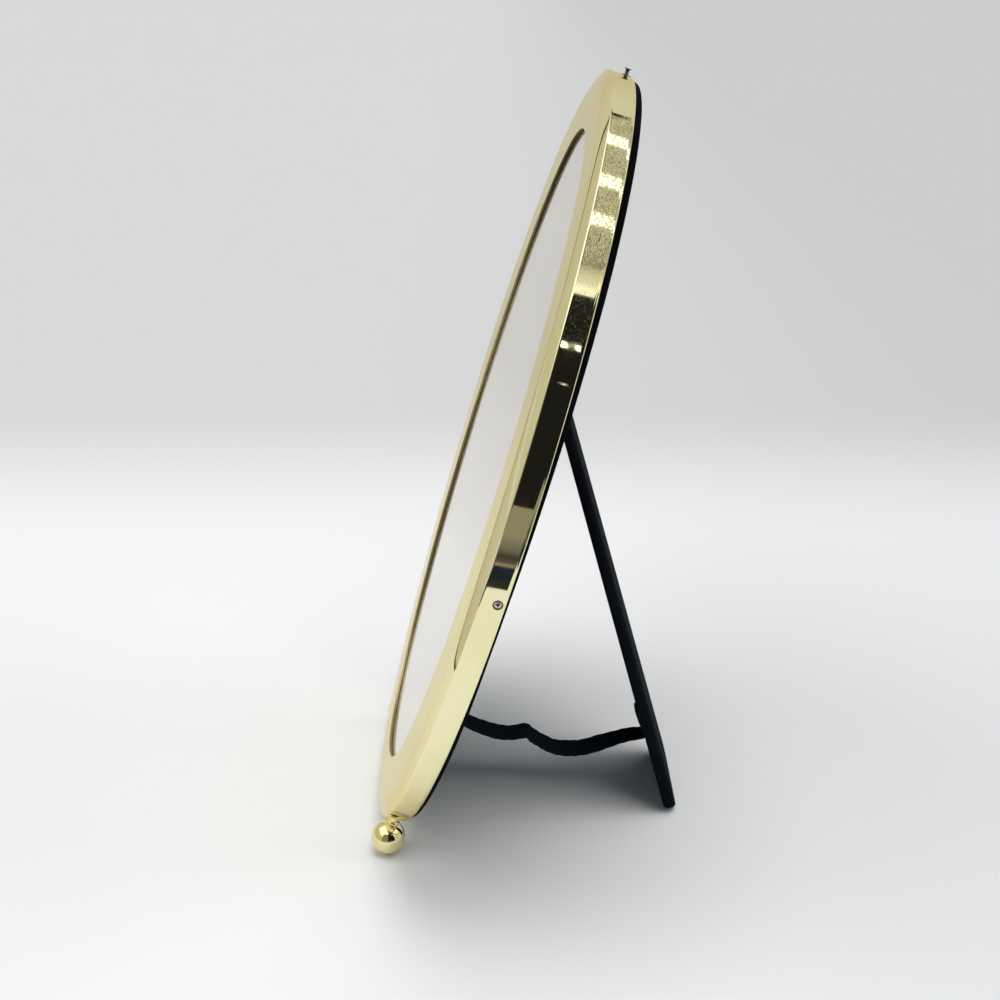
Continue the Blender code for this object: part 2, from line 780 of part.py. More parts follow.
def make_strut():
    wrap = STRUT_VELVET + CLOTH_GAP
    velvet = plate(
        "strut_velvet", strut_outline(0), STRUT_REAR, STRUT_FRONT, STRUT_AXES, rounding=STRUT_ROUNDING
    )
    board = plate(
        "strut_board",
        strut_outline(wrap, top_extra=wrap - STRUT_VELVET),
        STRUT_REAR + wrap,
        STRUT_FRONT - wrap,
        STRUT_AXES,
    )
    hollow = plate(
        "strut_hollow",
        strut_outline(STRUT_VELVET, top_extra=STRUT_HEEL + STRUT_TOP_CORNER),
        STRUT_REAR + STRUT_VELVET,
        STRUT_FRONT - STRUT_VELVET,
        STRUT_AXES,
        CUTTERS,
    )
    cut(velvet, as_cutter(hollow))
    notch_half = HINGE_WIDTH / 2 + PIN_END + SIDE_GAP
    notch = box(
        "hinge_notch",
        (-notch_half, -KNUCKLE_RADIUS - HINGE_NOTCH_GAP, 2 * STRUT_REAR),
        (notch_half, 2 * STRUT_HEEL, -2 * STRUT_REAR),
        STRUT_AXES,
        CUTTERS,
    )
    for piece in (velvet, board):
        cut(piece, as_cutter(notch))
    floor = box(
        "floor_trim",
        (-STRUT_FOOT_WIDTH, CENTRE_Y + REAR_REACH - STRUT_FOOT_WIDTH, -STRUT_FOOT_WIDTH),
        (STRUT_FOOT_WIDTH, CENTRE_Y + REAR_REACH + STRUT_FOOT_WIDTH, 0),
        None,
        CUTTERS,
    )
    cut(velvet, as_cutter(floor))
    as_part(velvet, BLACK_VELVET)
    as_part(board, HARDBOARD)
    return velvet, board


# Ribbon


def from_strut(y, z):
    """A point of the strut's own plane, as (y, z) under the front's axes."""
    return Vector(
        (
            HINGE_HEIGHT + y * math.cos(STRUT_OPEN) - z * math.sin(STRUT_OPEN),
            PIN_Z + y * math.sin(STRUT_OPEN) + z * math.cos(STRUT_OPEN),
        )
    )


def smooth_path(points, steps):
    """Points on a smooth curve through these."""
    ends = [points[0], *points, points[-1]]
    path = []
    for a, b, c, d in zip(ends, ends[1:], ends[2:], ends[3:]):
        for step in range(steps):
            t = step / steps
            path.append(
                b
                + (c - a) * t / 2
                + (a * 2 - b * 5 + c * 4 - d) * t**2 / 2
                + (b * 3 - a - c * 3 + d) * t**3 / 2
            )
    return [*path, points[-1]]


def ribbon_path():
    """The ribbon's middle line, from its tab on the board to its tab up the strut."""
    off = FIT_GAP + RIBBON_THICK / 2
    board_z = BACK - off
    strut_z = STRUT_FRONT + off
    bend = 1.5 * RIBBON_THICK
    strut_y = -STRUT_LENGTH + RIBBON_UP_STRUT
    start = Vector((-RIBBON_ON_BOARD, board_z - bend))
    end = from_strut(strut_y, strut_z + bend)
    down = Vector((-math.cos(LEAN), -math.sin(LEAN)))
    span = [start + (end - start) * share + down * RIBBON_DROP * drop for share, drop in RIBBON_SAG]
    board_tab = [Vector((-RIBBON_ON_BOARD + y, board_z)) for y in (RIBBON_TAB, RIBBON_TAB / 2, 1.6 * bend)]
    board_turn = [start + Vector((0.35 * bend, 0.55 * bend))]
    strut_turn = [from_strut(strut_y + 0.30 * bend, strut_z + 0.45 * bend)]
    strut_tab = [from_strut(strut_y + y, strut_z) for y in (1.6 * bend, RIBBON_TAB / 2, RIBBON_TAB)]
    return smooth_path(board_tab + board_turn + span + strut_turn + strut_tab, RIBBON_STEPS)


def make_ribbon():
    curve = curve_spline("ribbon_strap", [tuple(point) for point in ribbon_path()], False)
    curve.dimensions = "3D"
    curve.extrude = RIBBON_WIDTH / 2
    strip = add_object("ribbon_strap", curve, PARTS, FRONT_AXES)
    # The flat curve's X runs up the oval, its Y to the front and its Z across
    strip.matrix_local = Matrix(((0, 0, 1, 0), (1, 0, 0, 0), (0, 1, 0, 0), (0, 0, 0, 1)))
    strip = curve_to_mesh(strip, PARTS, FRONT_AXES)
    wall = strip.modifiers.new("cloth", "SOLIDIFY")
    wall.thickness = RIBBON_THICK
    wall.offset = 0
    wall.use_even_offset = True
    return as_part(strip, BLACK_RIBBON)


def main():
    front = make_front_frame()
    make_glass()
    make_insert()
    board = make_back_board()
    velvet = make_back_velvet()
    make_rim_screws(front, velvet, board)
    make_feet(front)
    strut_velvet, strut_board = make_strut()
    make_hinge(velvet, board, strut_velvet, strut_board)
    make_ribbon()


main()
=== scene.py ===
"""Looks for the oval picture frame: polished brass, velvet, woven ribbon, glass and card.

Lengths are metres. The front's pieces are modelled lying flat, with X across, Y up the oval and
Z towards the viewer, and then stood up by FRONT_PLACE. Z is 0 at the front edge of the band.
"""

import math

import bmesh
import bpy
import numpy as np
from mathutils import Matrix, Vector


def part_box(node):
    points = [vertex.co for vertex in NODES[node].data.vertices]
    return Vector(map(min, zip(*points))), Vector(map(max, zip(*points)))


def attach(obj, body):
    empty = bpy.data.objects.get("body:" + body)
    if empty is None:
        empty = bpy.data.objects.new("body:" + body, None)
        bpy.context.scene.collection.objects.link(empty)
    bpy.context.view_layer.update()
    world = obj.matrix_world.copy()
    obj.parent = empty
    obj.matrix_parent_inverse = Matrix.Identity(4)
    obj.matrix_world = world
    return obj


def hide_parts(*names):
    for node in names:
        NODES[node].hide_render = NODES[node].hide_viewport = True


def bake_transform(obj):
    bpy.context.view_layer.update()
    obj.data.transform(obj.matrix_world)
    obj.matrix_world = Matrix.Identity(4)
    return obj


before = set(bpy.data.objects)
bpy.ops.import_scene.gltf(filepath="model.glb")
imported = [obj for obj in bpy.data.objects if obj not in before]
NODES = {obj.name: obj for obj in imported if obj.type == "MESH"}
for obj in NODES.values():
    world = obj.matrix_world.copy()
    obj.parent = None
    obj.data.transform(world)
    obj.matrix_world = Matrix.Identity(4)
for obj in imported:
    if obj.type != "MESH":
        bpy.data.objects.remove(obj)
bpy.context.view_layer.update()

# Stance and outline, as in the part's source
LEAN = math.radians(17.0)
STRUT_OPEN = math.radians(32.5)
HALF_WIDTH = 0.078
HALF_HEIGHT = 0.105
OPENING_HALF_WIDTH = 0.059
OPENING_HALF_HEIGHT = 0.090
SHEET = 0.0008
BAND_DEPTH = 0.0059
FACE_PROUD = 0.0014
CROWN_WIDTH = 0.0052
CROWN_SLOPE = math.radians(29.0)
EDGE_RADIUS = 0.00045
LIP_ROUNDING = 0.0002
CROWN_INSET = EDGE_RADIUS * (1 - math.sin(CROWN_SLOPE))
CROWN_FOOT = -EDGE_RADIUS * (1 - math.cos(CROWN_SLOPE))

# The band's rear edge turns in from a crease, and is rounded over
CREASE_Z = -0.00518
CREASE_BEND = 0.00004
REAR_TURN = 0.00007
REAR_ROUNDING = 0.0003
# A ring this close to a bend keeps the bend crisp
CRISP = 0.0001

# The velvet-covered back
BACK = -0.0071
BOARD_FRONT = -0.00195
FILL_INSET = 0.0011
BACK_ROUNDING = 0.0007
RIM_WIDTH = 0.0065
RIM_FADE = 0.0055
RIM_FACE_AREA = 3e-6
BOARD_LAP = 0.0020
FUZZ_Z = -0.0052
# How far the padded rim stands behind the band, by degrees round the oval above its middle
RIM_PROUD = (
    (-90, 0.00135),
    (-48, 0.00135),
    (-24, 0.00115),
    (-8, 0.00075),
    (0, 0.00073),
    (12, 0.00100),
    (28, 0.00140),
    (44, 0.00175),
    (60, 0.00190),
    (90, 0.00190),
)

# Hinge and strut
HINGE_HEIGHT = 0.0302
PIN_Z = -0.0086
HINGE_HALF_WIDTH = 0.0075
KNUCKLE_RADIUS = 0.0012
LEAF_THICK = 0.0006
STRUT_FRONT = 0.0003
STRUT_REAR = -0.0025
STRUT_TOP_WIDTH = 0.0260
STRUT_FOOT_WIDTH = 0.0320
STRUT_ROUNDING = 0.001215
STRUT_FOOT_CORNER = 0.0050
STRUT_TOP_CORNER = 0.0022
STRUT_HEEL = 0.0024
STRUT_LENGTH = 0.1361868
SIDE_FACE_AREA = 2e-5
NOTCH_AIR = 0.0007
NOTCH_BELOW = 0.0006
# The cloth is turned in and thicker near the strut's foot
HEM_FROM = 0.108
HEM_REACH = 0.018
HEM_THICK = 0.00035

# Ribbon
RIBBON_WIDTH = 0.0060
RIBBON_THICK = 0.0008
RIBBON_PRESSED = 0.42
RIBBON_GAP = 0.0003
RIBBON_ON_BOARD = 0.0792
RIBBON_UP_STRUT = 0.0188
RIBBON_TAB = 0.0090
RIBBON_DROP = 0.0083
RIBBON_SAG = (
    (0.074, 0.08),
    (0.155, 0.34),
    (0.209, 0.49),
    (0.293, 0.64),
    (0.366, 0.63),
    (0.441, 0.46),
    (0.466, 0.59),
    (0.502, 0.75),
    (0.522, 0.83),
    (0.582, 1.00),
    (0.658, 0.98),
    (0.731, 0.84),
    (0.844, 0.43),
    (0.934, 0.11),
)
# Degrees that the strap is twisted, by its share of the way
RIBBON_ROLL = ((0.0, 0), (0.17, 0), (0.30, -9), (0.55, -9), (0.72, -15), (0.84, 0), (1.0, 0))
# Path steps in the fold at the strut's end
FOLD_STEPS = 9

# Screws, feet and rivets
SCREW_DEPTH = 0.0041
SCREW_SUNK = 0.00025
TOP_SCREW_PROUD = 0.0017
SCREW_HEAD_RADIUS = 0.00095
SCREW_SHANK_RADIUS = 0.00040
SCREW_LENGTH = 0.0055
THREAD_TOP = -0.00062
THREAD_END = -0.0046
THREAD_PITCH = 0.00036
THREAD_HEIGHT = 0.00013
CROSS_REACH = 0.00062
CROSS_HALF_WIDTH = 0.00019
CROSS_DEPTH = 0.00042
CROSS_OVER = 0.0002
CROSS_TAPER = 0.55
HOLE_RADIUS = 0.00120
DRILL_RADIUS = 0.00055
SEAT_GAP = 0.0001
FOOT_X = 0.0315
FOOT_DEPTH = 0.0039
FOOT_GAP = 0.0024
BALL_RADIUS = 0.00475
BALL_FLAT_RADIUS = 0.0012
BEAD_MIDDLE = (0.0011, 0.0008)
BEAD_ROUNDING = 0.0007
NECK_RADIUS = 0.0013
NECK_TOP = 0.0050
BAND_ROOM = 0.012
RIVET_RADIUS = 0.0015
RIVET_DOME = 0.0007
RIVET_X = 0.0045
RIVET_FROM_PIN = 0.0080

# Studio
LIGHT_LEVEL = 1.025
ROOM_TONE = (0.60, 0.59, 0.53)

PIN_LOW, PIN_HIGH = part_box("hinge_pin")
FRONT_TURN = Matrix.Rotation(math.pi / 2 - LEAN, 4, "X")
CENTRE = (PIN_LOW + PIN_HIGH) / 2 - FRONT_TURN @ Vector((0, HINGE_HEIGHT, PIN_Z))
FRONT_PLACE = Matrix.Translation(CENTRE) @ FRONT_TURN
STRUT_PLACE = (
    FRONT_PLACE @ Matrix.Translation((0, HINGE_HEIGHT, PIN_Z)) @ Matrix.Rotation(STRUT_OPEN, 4, "X")
)


# Making meshes


def new_object(name, data):
    """An object in the scene that holds this data."""
    obj = bpy.data.objects.new(name, data)
    bpy.context.scene.collection.objects.link(obj)
    return obj


def piece_of(name, shape):
    """A new piece with this bmesh's shape, which is freed."""
    mesh = bpy.data.meshes.new(name)
    shape.to_mesh(mesh)
    shape.free()
    return new_object(name, mesh)


def piece_from(name, points, faces, place=None):
    """A new piece with this mesh, its place in the mesh and its faces turned outwards."""
    mesh = bpy.data.meshes.new(name)
    mesh.from_pydata([tuple(point) for point in points], [], faces)
    shape = bmesh.new()
    shape.from_mesh(mesh)
    bmesh.ops.recalc_face_normals(shape, faces=shape.faces)
    shape.to_mesh(mesh)
    shape.free()
    if place is not None:
        mesh.transform(place)
    return new_object(name, mesh)


def mark_faces(obj, name, chosen):
    """A face attribute that is 1 where chosen(face) holds, and 0 elsewhere."""
    mark = obj.data.attributes.new(name, "FLOAT", "FACE")
    for face in obj.data.polygons:
        mark.data[face.index].value = float(chosen(face))


def value_at(where, points):
    """The value at a place on the line through (place, value) points."""
    return float(np.interp(where, *zip(*points)))


def smooth(obj, angle=35.0):
    obj.data.shade_smooth()
    obj.data.set_sharp_from_angle(angle=math.radians(angle))
    return obj


def arc(centre, radius, start, end, steps):
    """Flat points on a stretch of a circle, angles in degrees."""
    x, y = centre
    turns = [math.radians(start + (end - start) * step / steps) for step in range(steps + 1)]
    return [(x + radius * math.cos(turn), y + radius * math.sin(turn)) for turn in turns]


def loft(name, rings, ends="loop", place=None):
    """Rings of as many points each, joined in order. The last joins the first, or both are filled."""
    count = len(rings[0])
    points = [point for ring in rings for point in ring]
    faces = []
    last = len(rings) if ends == "loop" else len(rings) - 1
    for ring in range(last):
        here = ring * count
        there = (ring + 1) % len(rings) * count
        for step in range(count):
            after = (step + 1) % count
            faces.append((here + step, here + after, there + after, there + step))
    if ends == "filled":
        faces.append(tuple(range(count)))
        faces.append(tuple(range((len(rings) - 1) * count, len(rings) * count)))
    return piece_from(name, points, faces, place)


def turned(name, profile, steps=64):
    """A turned shape from its profile of (radius, height), both ends on its axis."""
    points = [(0, 0, profile[0][1])]
    for radius, height in profile[1:-1]:
        for step in range(steps):
            turn = math.tau * step / steps
            points.append((radius * math.cos(turn), radius * math.sin(turn), height))
    points.append((0, 0, profile[-1][1]))
    faces = []
    for step in range(steps):
        after = (step + 1) % steps
        faces.append((0, 1 + step, 1 + after))
        end = len(points) - 1
        faces.append((end, end - steps + after, end - steps + step))
    for ring in range(len(profile) - 3):
        here = 1 + ring * steps
        for step in range(steps):
            after = (step + 1) % steps
            faces.append((here + step, here + steps + step, here + steps + after, here + after))
    return piece_from(name, points, faces)


def bring_in(obj, modifier):
    """Applies a modifier, so that its result is the piece's own mesh."""
    bpy.context.view_layer.update()
    evaluated = obj.evaluated_get(bpy.context.evaluated_depsgraph_get())
    mesh = bpy.data.meshes.new_from_object(evaluated)
    obj.modifiers.remove(modifier)
    old = obj.data
    obj.data = mesh
    mesh.name = obj.name
    bpy.data.meshes.remove(old)
    return obj


def cut_with(obj, cutter):
    """Takes the cutter's shape out of the piece, and removes the cutter."""
    cutting = obj.modifiers.new("cut", "BOOLEAN")
    cutting.operation = "DIFFERENCE"
    cutting.solver = "EXACT"
    cutting.object = cutter
    bring_in(obj, cutting)
    bpy.data.objects.remove(cutter, do_unlink=True)
    return obj


# Materials

BRASS_LIGHT = (0.91, 0.86, 0.55)
BRASS_DEEP = (0.88, 0.82, 0.49)


def add_node(tree, kind, inputs=None, **settings):
    """A new node with these settings and input values."""
    made = tree.nodes.new(kind)
    for key, value in settings.items():
        setattr(made, key, value)
    for key, value in (inputs or {}).items():
        made.inputs[key].default_value = value
    return made


def wire(tree, *links):
    """Links, each as (node, output, node, input)."""
    for source, output, target, socket in links:
        tree.links.new(source.outputs[output], target.inputs[socket])


def emptied(tree):
    """A node tree with nothing in it."""
    tree.nodes.clear()
    return tree


class Finish:
    """A material under construction: one Principled shader and what drives it."""

    def __init__(self, name, colour, metallic=0.0, roughness=0.5, **more):
        self.material = bpy.data.materials.new(name)
        self.material.use_nodes = True
        self.tree = self.material.node_tree
        self.shader = self.tree.nodes["Principled BSDF"]
        self.out = self.tree.nodes["Material Output"]
        self.shader.inputs["Base Color"].default_value = (*colour, 1)
        self.shader.inputs["Metallic"].default_value = metallic
        self.shader.inputs["Roughness"].default_value = roughness
        for socket, value in more.items():
            self.shader.inputs[socket.replace("_", " ")].default_value = value

    def node(self, kind, inputs=None, **settings):
        return add_node(self.tree, kind, inputs, **settings)

    def feed(self, source, socket):
        self.tree.links.new(source, socket)

    def place(self):
        """Object coordinates."""
        return self.node("ShaderNodeTexCoord").outputs["Object"]

    def marked(self, name):
        """A face attribute of the piece."""
        return self.node("ShaderNodeAttribute", attribute_name=name).outputs["Fac"]

    def stretched(self, vector, scale):
        mapping = self.node("ShaderNodeMapping", {"Scale": scale})
        self.feed(vector, mapping.inputs["Vector"])
        return mapping.outputs["Vector"]

    def noise(self, vector, scale, detail=3.0, rough=0.5):
        made = self.node("ShaderNodeTexNoise", {"Scale": scale, "Detail": detail, "Roughness": rough})
        self.feed(vector, made.inputs["Vector"])
        return made.outputs["Fac"]

    def cells(self, vector, scale):
        made = self.node("ShaderNodeTexVoronoi", {"Scale": scale})
        self.feed(vector, made.inputs["Vector"])
        return made

    def ramp(self, value, low, high, to_low=0.0, to_high=1.0):
        ends = {"From Min": low, "From Max": high, "To Min": to_low, "To Max": to_high}
        made = self.node("ShaderNodeMapRange", ends, interpolation_type="SMOOTHSTEP")
        self.feed(value, made.inputs["Value"])
        return made.outputs["Result"]

    def maths(self, operation, first, second):
        made = self.node("ShaderNodeMath", operation=operation)
        for socket, value in zip(made.inputs, (first, second)):
            if isinstance(value, (int, float)):
                socket.default_value = value
            else:
                self.feed(value, socket)
        return made.outputs["Value"]

    def times(self, first, *others):
        for other in others:
            first = self.maths("MULTIPLY", first, other)
        return first

    def between(self, value, rise, fall):
        """1 between two soft edges, each a (from, to) pair, and 0 beyond them."""
        return self.times(self.ramp(value, *rise), self.ramp(value, *fall))

    def blend(self, share, first, second):
        """A colour between two, by share."""
        made = self.node("ShaderNodeMix", data_type="RGBA")
        # The colour sockets have the same names as the node's other kinds of socket
        first_in, second_in, mixed = 6, 7, 2
        self.feed(share, made.inputs["Factor"])
        for socket, colour in ((made.inputs[first_in], first), (made.inputs[second_in], second)):
            if isinstance(colour, tuple):
                socket.default_value = (*colour, 1)
            else:
                self.feed(colour, socket)
        return made.outputs[mixed]

    def axis(self, vector, letter):
        split = self.node("ShaderNodeSeparateXYZ")
        self.feed(vector, split.inputs["Vector"])
        return split.outputs[letter]

    def colour(self, source):
        self.feed(source, self.shader.inputs["Base Color"])

    def roughness(self, source):
        self.feed(source, self.shader.inputs["Roughness"])

    def metallic(self, source):
        self.feed(source, self.shader.inputs["Metallic"])

    def bump(self, height, distance, strength=1.0, under=None):
        made = self.node("ShaderNodeBump", {"Strength": strength, "Distance": distance})
        self.feed(height, made.inputs["Height"])
        if under is not None:
            self.feed(under, made.inputs["Normal"])
        self.feed(made.outputs["Normal"], self.shader.inputs["Normal"])
        return made.outputs["Normal"]


def polished_brass():
    """Mirror-polished sheet brass: a little wavy, pitted and flecked on the upper band, nicked low down."""
    look = Finish("polished_brass", BRASS_LIGHT, metallic=1.0, roughness=0.05)
    look.shader.inputs["Specular Tint"].default_value = (0.85, 0.78, 0.595, 1)
    at = look.place()
    height = look.axis(at, "Z")
    cut = look.marked("cut_edge")
    on_band = look.marked("on_band")
    bright = look.blend(look.ramp(look.noise(at, 60.0, 3.0), 0.35, 0.7), BRASS_LIGHT, BRASS_DEEP)
    # The cut edge: duller brass, with painted shade that darkens it to near black towards the top
    dull_edge_and_shade = look.blend(look.ramp(height, 0.10, 0.19), (0.42, 0.34, 0.18), (0.07, 0.05, 0.025))

    pitted = look.between(height, (0.171, 0.177), (0.198, 0.1955))
    grains = look.times(look.ramp(look.noise(at, 2100.0, 3.0, 0.8), 0.49, 0.56), pitted)
    spread = look.between(height, (0.146, 0.158), (0.180, 0.172))
    specks = look.ramp(look.noise(at, 2300.0, 3.0, 0.8), 0.56, 0.66, 0.0, 0.6)
    pits = look.times(look.maths("ADD", grains, look.times(specks, spread)), on_band)
    flecks = look.times(specks, look.between(height, (0.152, 0.160), (0.172, 0.169)), on_band)

    scratches = look.cells(look.stretched(at, (1.0, 1.6, 0.35)), 150.0)
    some = look.ramp(look.axis(scratches.outputs["Color"], "X"), 0.90, 0.91)
    narrow = look.ramp(scratches.outputs["Distance"], 0.03, 0.06, 1.0, 0.0)
    nicks = look.times(narrow, some, look.ramp(height, 0.075, 0.060))

    # Cut edges and screw holes take the dull edge colour with its painted shade
    metal = look.blend(nicks, look.blend(cut, bright, dull_edge_and_shade), (0.16, 0.12, 0.05))
    look.colour(look.blend(look.times(pits, 0.85), metal, (0.36, 0.31, 0.16)))
    smudge = look.ramp(look.noise(at, 220.0, 4.0, 0.6), 0.45, 0.8, 0.035, 0.075)
    dull = look.maths("ADD", look.times(pits, 0.08), look.times(cut, 0.3))
    look.roughness(look.maths("ADD", smudge, dull))
    look.metallic(look.maths("SUBTRACT", 1.0, look.times(flecks, 0.40)))

    low_waves = look.times(look.ramp(height, 0.115, 0.095, 0.0, 1.6), on_band)
    waves = look.maths("ADD", look.ramp(height, 0.146, 0.128, 0.07, 1.0), low_waves)
    wavy = look.bump(look.times(look.noise(at, 160.0, 1.0), waves), 0.000010)
    look.bump(look.times(grains, on_band), 0.00003, under=wavy)
    return look.material


def turned_brass():
    """Turned and polished brass: fine rings, warmer than the sheet."""
    look = Finish("turned_brass", (0.87, 0.79, 0.43), metallic=1.0, roughness=0.07)
    at = look.place()
    tone = look.ramp(look.noise(at, 150.0, 3.0), 0.35, 0.7)
    look.colour(look.blend(tone, (0.88, 0.80, 0.45), (0.82, 0.72, 0.35)))
    look.roughness(look.ramp(look.noise(at, 500.0, 4.0, 0.6), 0.4, 0.8, 0.05, 0.16))
    look.bump(look.noise(look.stretched(at, (1, 1, 6)), 900.0, 2.0), 0.00001)
    return look.material


def clear_glass():
    """Picture glass that lets lamps through to the card."""
    look = Finish("clear_glass", (0.87, 0.855, 0.83), Transmission_Weight=1.0, IOR=1.5)
    look.roughness(look.ramp(look.noise(look.place(), 120.0, 4.0, 0.6), 0.55, 0.85, 0.0, 0.04))
    through = look.node("ShaderNodeBsdfTransparent", {"Color": (0.88, 0.87, 0.85, 1)})
    path = look.node("ShaderNodeLightPath")
    both = look.node("ShaderNodeMixShader")
    look.feed(path.outputs["Is Shadow Ray"], both.inputs["Fac"])
    look.feed(look.shader.outputs["BSDF"], both.inputs[1])
    look.feed(through.outputs["BSDF"], both.inputs[2])
    look.feed(both.outputs["Shader"], look.out.inputs["Surface"])
    return look.material


def white_card():
    """Blank white card: faint mottle, paper tooth, a few specks of dust, painted shade towards the top."""
    look = Finish("white_card", (0.80, 0.80, 0.79), roughness=0.85)
    at = look.place()
    mottle = look.ramp(look.noise(at, 45.0, 4.0, 0.55), 0.3, 0.7)
    paper = look.blend(mottle, (0.70, 0.68, 0.66), (0.75, 0.735, 0.715))
    # Painted shade: the card grows darker towards its top
    paper = look.blend(look.ramp(look.axis(at, "Z"), 0.02, 0.20, 0.0, 0.7), paper, (0.53, 0.51, 0.48))
    specks = look.cells(at, 95.0)
    few = look.ramp(look.axis(specks.outputs["Color"], "X"), 0.70, 0.72)
    dust = look.times(look.ramp(specks.outputs["Distance"], 0.04, 0.08, 1.0, 0.0), few)
    look.colour(look.blend(dust, paper, (0.22, 0.20, 0.20)))
    look.bump(look.noise(at, 2500.0, 3.0, 0.6), 0.00002)
    return look.material


def hardboard():
    """Dense brown fibre board."""
    look = Finish("hardboard", (0.24, 0.15, 0.08), roughness=0.8)
    grain = look.noise(look.stretched(look.place(), (1, 1, 0.3)), 1500.0, 5.0, 0.7)
    look.colour(look.blend(look.ramp(grain, 0.3, 0.7), (0.19, 0.11, 0.055), (0.30, 0.19, 0.10)))
    look.bump(grain, 0.0001)
    return look.material


def velvet(name, base, brushed, sheen):
    """Short-pile velvet: near black, with brushed patches and a soft edge light."""
    nap_light = {"Sheen_Weight": sheen, "Sheen_Roughness": 0.35}
    look = Finish(name, base, roughness=1.0, Specular_IOR_Level=0.05, **nap_light)
    look.shader.inputs["Sheen Tint"].default_value = (0.20, 0.24, 0.36, 1)
    at = look.place()
    nap = look.noise(look.stretched(at, (1, 1, 0.45)), 55.0, 4.0, 0.6)
    pile = look.noise(at, 3200.0, 2.0, 0.7)
    patch = look.blend(look.ramp(nap, 0.38, 0.66), base, brushed)
    look.colour(look.blend(look.ramp(pile, 0.3, 0.8, 0.0, 0.6), patch, base))
    laid = look.bump(nap, 0.0003, 0.5)
    look.bump(pile, 0.00012, under=laid)
    return look.material


def woven_ribbon():
    """Black grosgrain: fine ribs across and loose threads, laid by the ribbon's own UV map."""
    look = Finish("black_ribbon", (0.010, 0.011, 0.016), roughness=0.7, Specular_IOR_Level=0.0)
    uv = look.node("ShaderNodeTexCoord").outputs["UV"]
    weave = {"Scale": 420.0, "Distortion": 0.4, "Detail": 1.0}
    ribs = look.node("ShaderNodeTexWave", weave, wave_type="BANDS", bands_direction="X", wave_profile="SIN")
    look.feed(uv, ribs.inputs["Vector"])
    thread = look.noise(look.stretched(uv, (1, 6, 1)), 1800.0, 2.0)
    look.colour(look.blend(ribs.outputs["Fac"], (0.0100, 0.0145, 0.0195), (0.0220, 0.0310, 0.0400)))
    look.bump(look.maths("ADD", ribs.outputs["Fac"], look.times(thread, 0.5)), 0.00008)
    return look.material


def plated_steel(name, colour, roughness, streak=(1, 1, 1), shaded_under_head=False):
    """Sheet or turned steel: fine scratches, slightly uneven tone, painted shade where marked under_head.
    """
    look = Finish(name, colour, metallic=1.0, roughness=roughness)
    at = look.place()
    worn = tuple(channel * 0.78 for channel in colour)
    tone = look.blend(look.ramp(look.noise(at, 300.0, 4.0, 0.6), 0.4, 0.75), colour, worn)
    if shaded_under_head:
        # Painted shade: near black under the screw's head and in its cross recess
        tone = look.blend(look.times(look.marked("under_head"), 0.9), tone, (0.07, 0.06, 0.045))
    look.colour(tone)
    lines = look.noise(look.stretched(at, streak), 1400.0, 3.0, 0.7)
    look.roughness(look.ramp(lines, 0.3, 0.75, roughness * 0.8, min(1.0, roughness * 1.7)))
    look.bump(lines, 0.00001)
    return look.material


BRASS = polished_brass()
TURNED = turned_brass()
GLASS = clear_glass()
CARD = white_card()
BOARD = hardboard()
VELVET = velvet("black_velvet", (0.0030, 0.0040, 0.0062), (0.0065, 0.0085, 0.0130), 0.025)
# A darker copy of the same velvet: painted shade on the back and its rim
SHADED_BACK_VELVET = velvet("black_velvet_back", (0.0018, 0.0019, 0.0023), (0.0042, 0.0046, 0.0060), 0.005)
RIBBON = woven_ribbon()
SCREW_METAL = plated_steel("screw_steel", (0.78, 0.70, 0.69), 0.20, shaded_under_head=True)
HINGE_METAL = plated_steel("hinge_steel", (0.60, 0.50, 0.24), 0.28, streak=(0.15, 1, 1))
RIVET_METAL = plated_steel("rivet_steel", (0.62, 0.52, 0.26), 0.22)


def dress(obj, material, slot, body, *nodes):
    """Gives a piece its finish, its body and the CAD nodes that it stands for."""
    obj.data.materials.clear()
    obj.data.materials.append(material)
    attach(obj, body)
    if nodes:
        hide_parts(*nodes)
    return obj


def repaint(node, material):
    """Puts a finish on a CAD node whose shape stays."""
    for slot in NODES[node].material_slots:
        slot.material = material


# Geometry nodes: a shape set out on points, and standing fibres


def new_tree(name, sockets, result):
    """An empty node tree with these (name, kind) inputs and one geometry output, and its two ends."""
    tree = bpy.data.node_groups.new(name, "GeometryNodeTree")
    for socket, kind in sockets:
        tree.interface.new_socket(socket, in_out="INPUT", socket_type=f"NodeSocket{kind}")
    tree.interface.new_socket(result, in_out="OUTPUT", socket_type="NodeSocketGeometry")
    return tree, add_node(tree, "NodeGroupInput"), add_node(tree, "NodeGroupOutput")


def run_tree(obj, tree, values):
    """Runs the tree on the piece with these input values, and keeps the result as its own mesh."""
    setting = obj.modifiers.new(tree.name, "NODES")
    setting.node_group = tree
    for socket in tree.interface.items_tree:
        if socket.name in values:
            setting[socket.identifier] = values[socket.name]
    return bring_in(obj, setting)


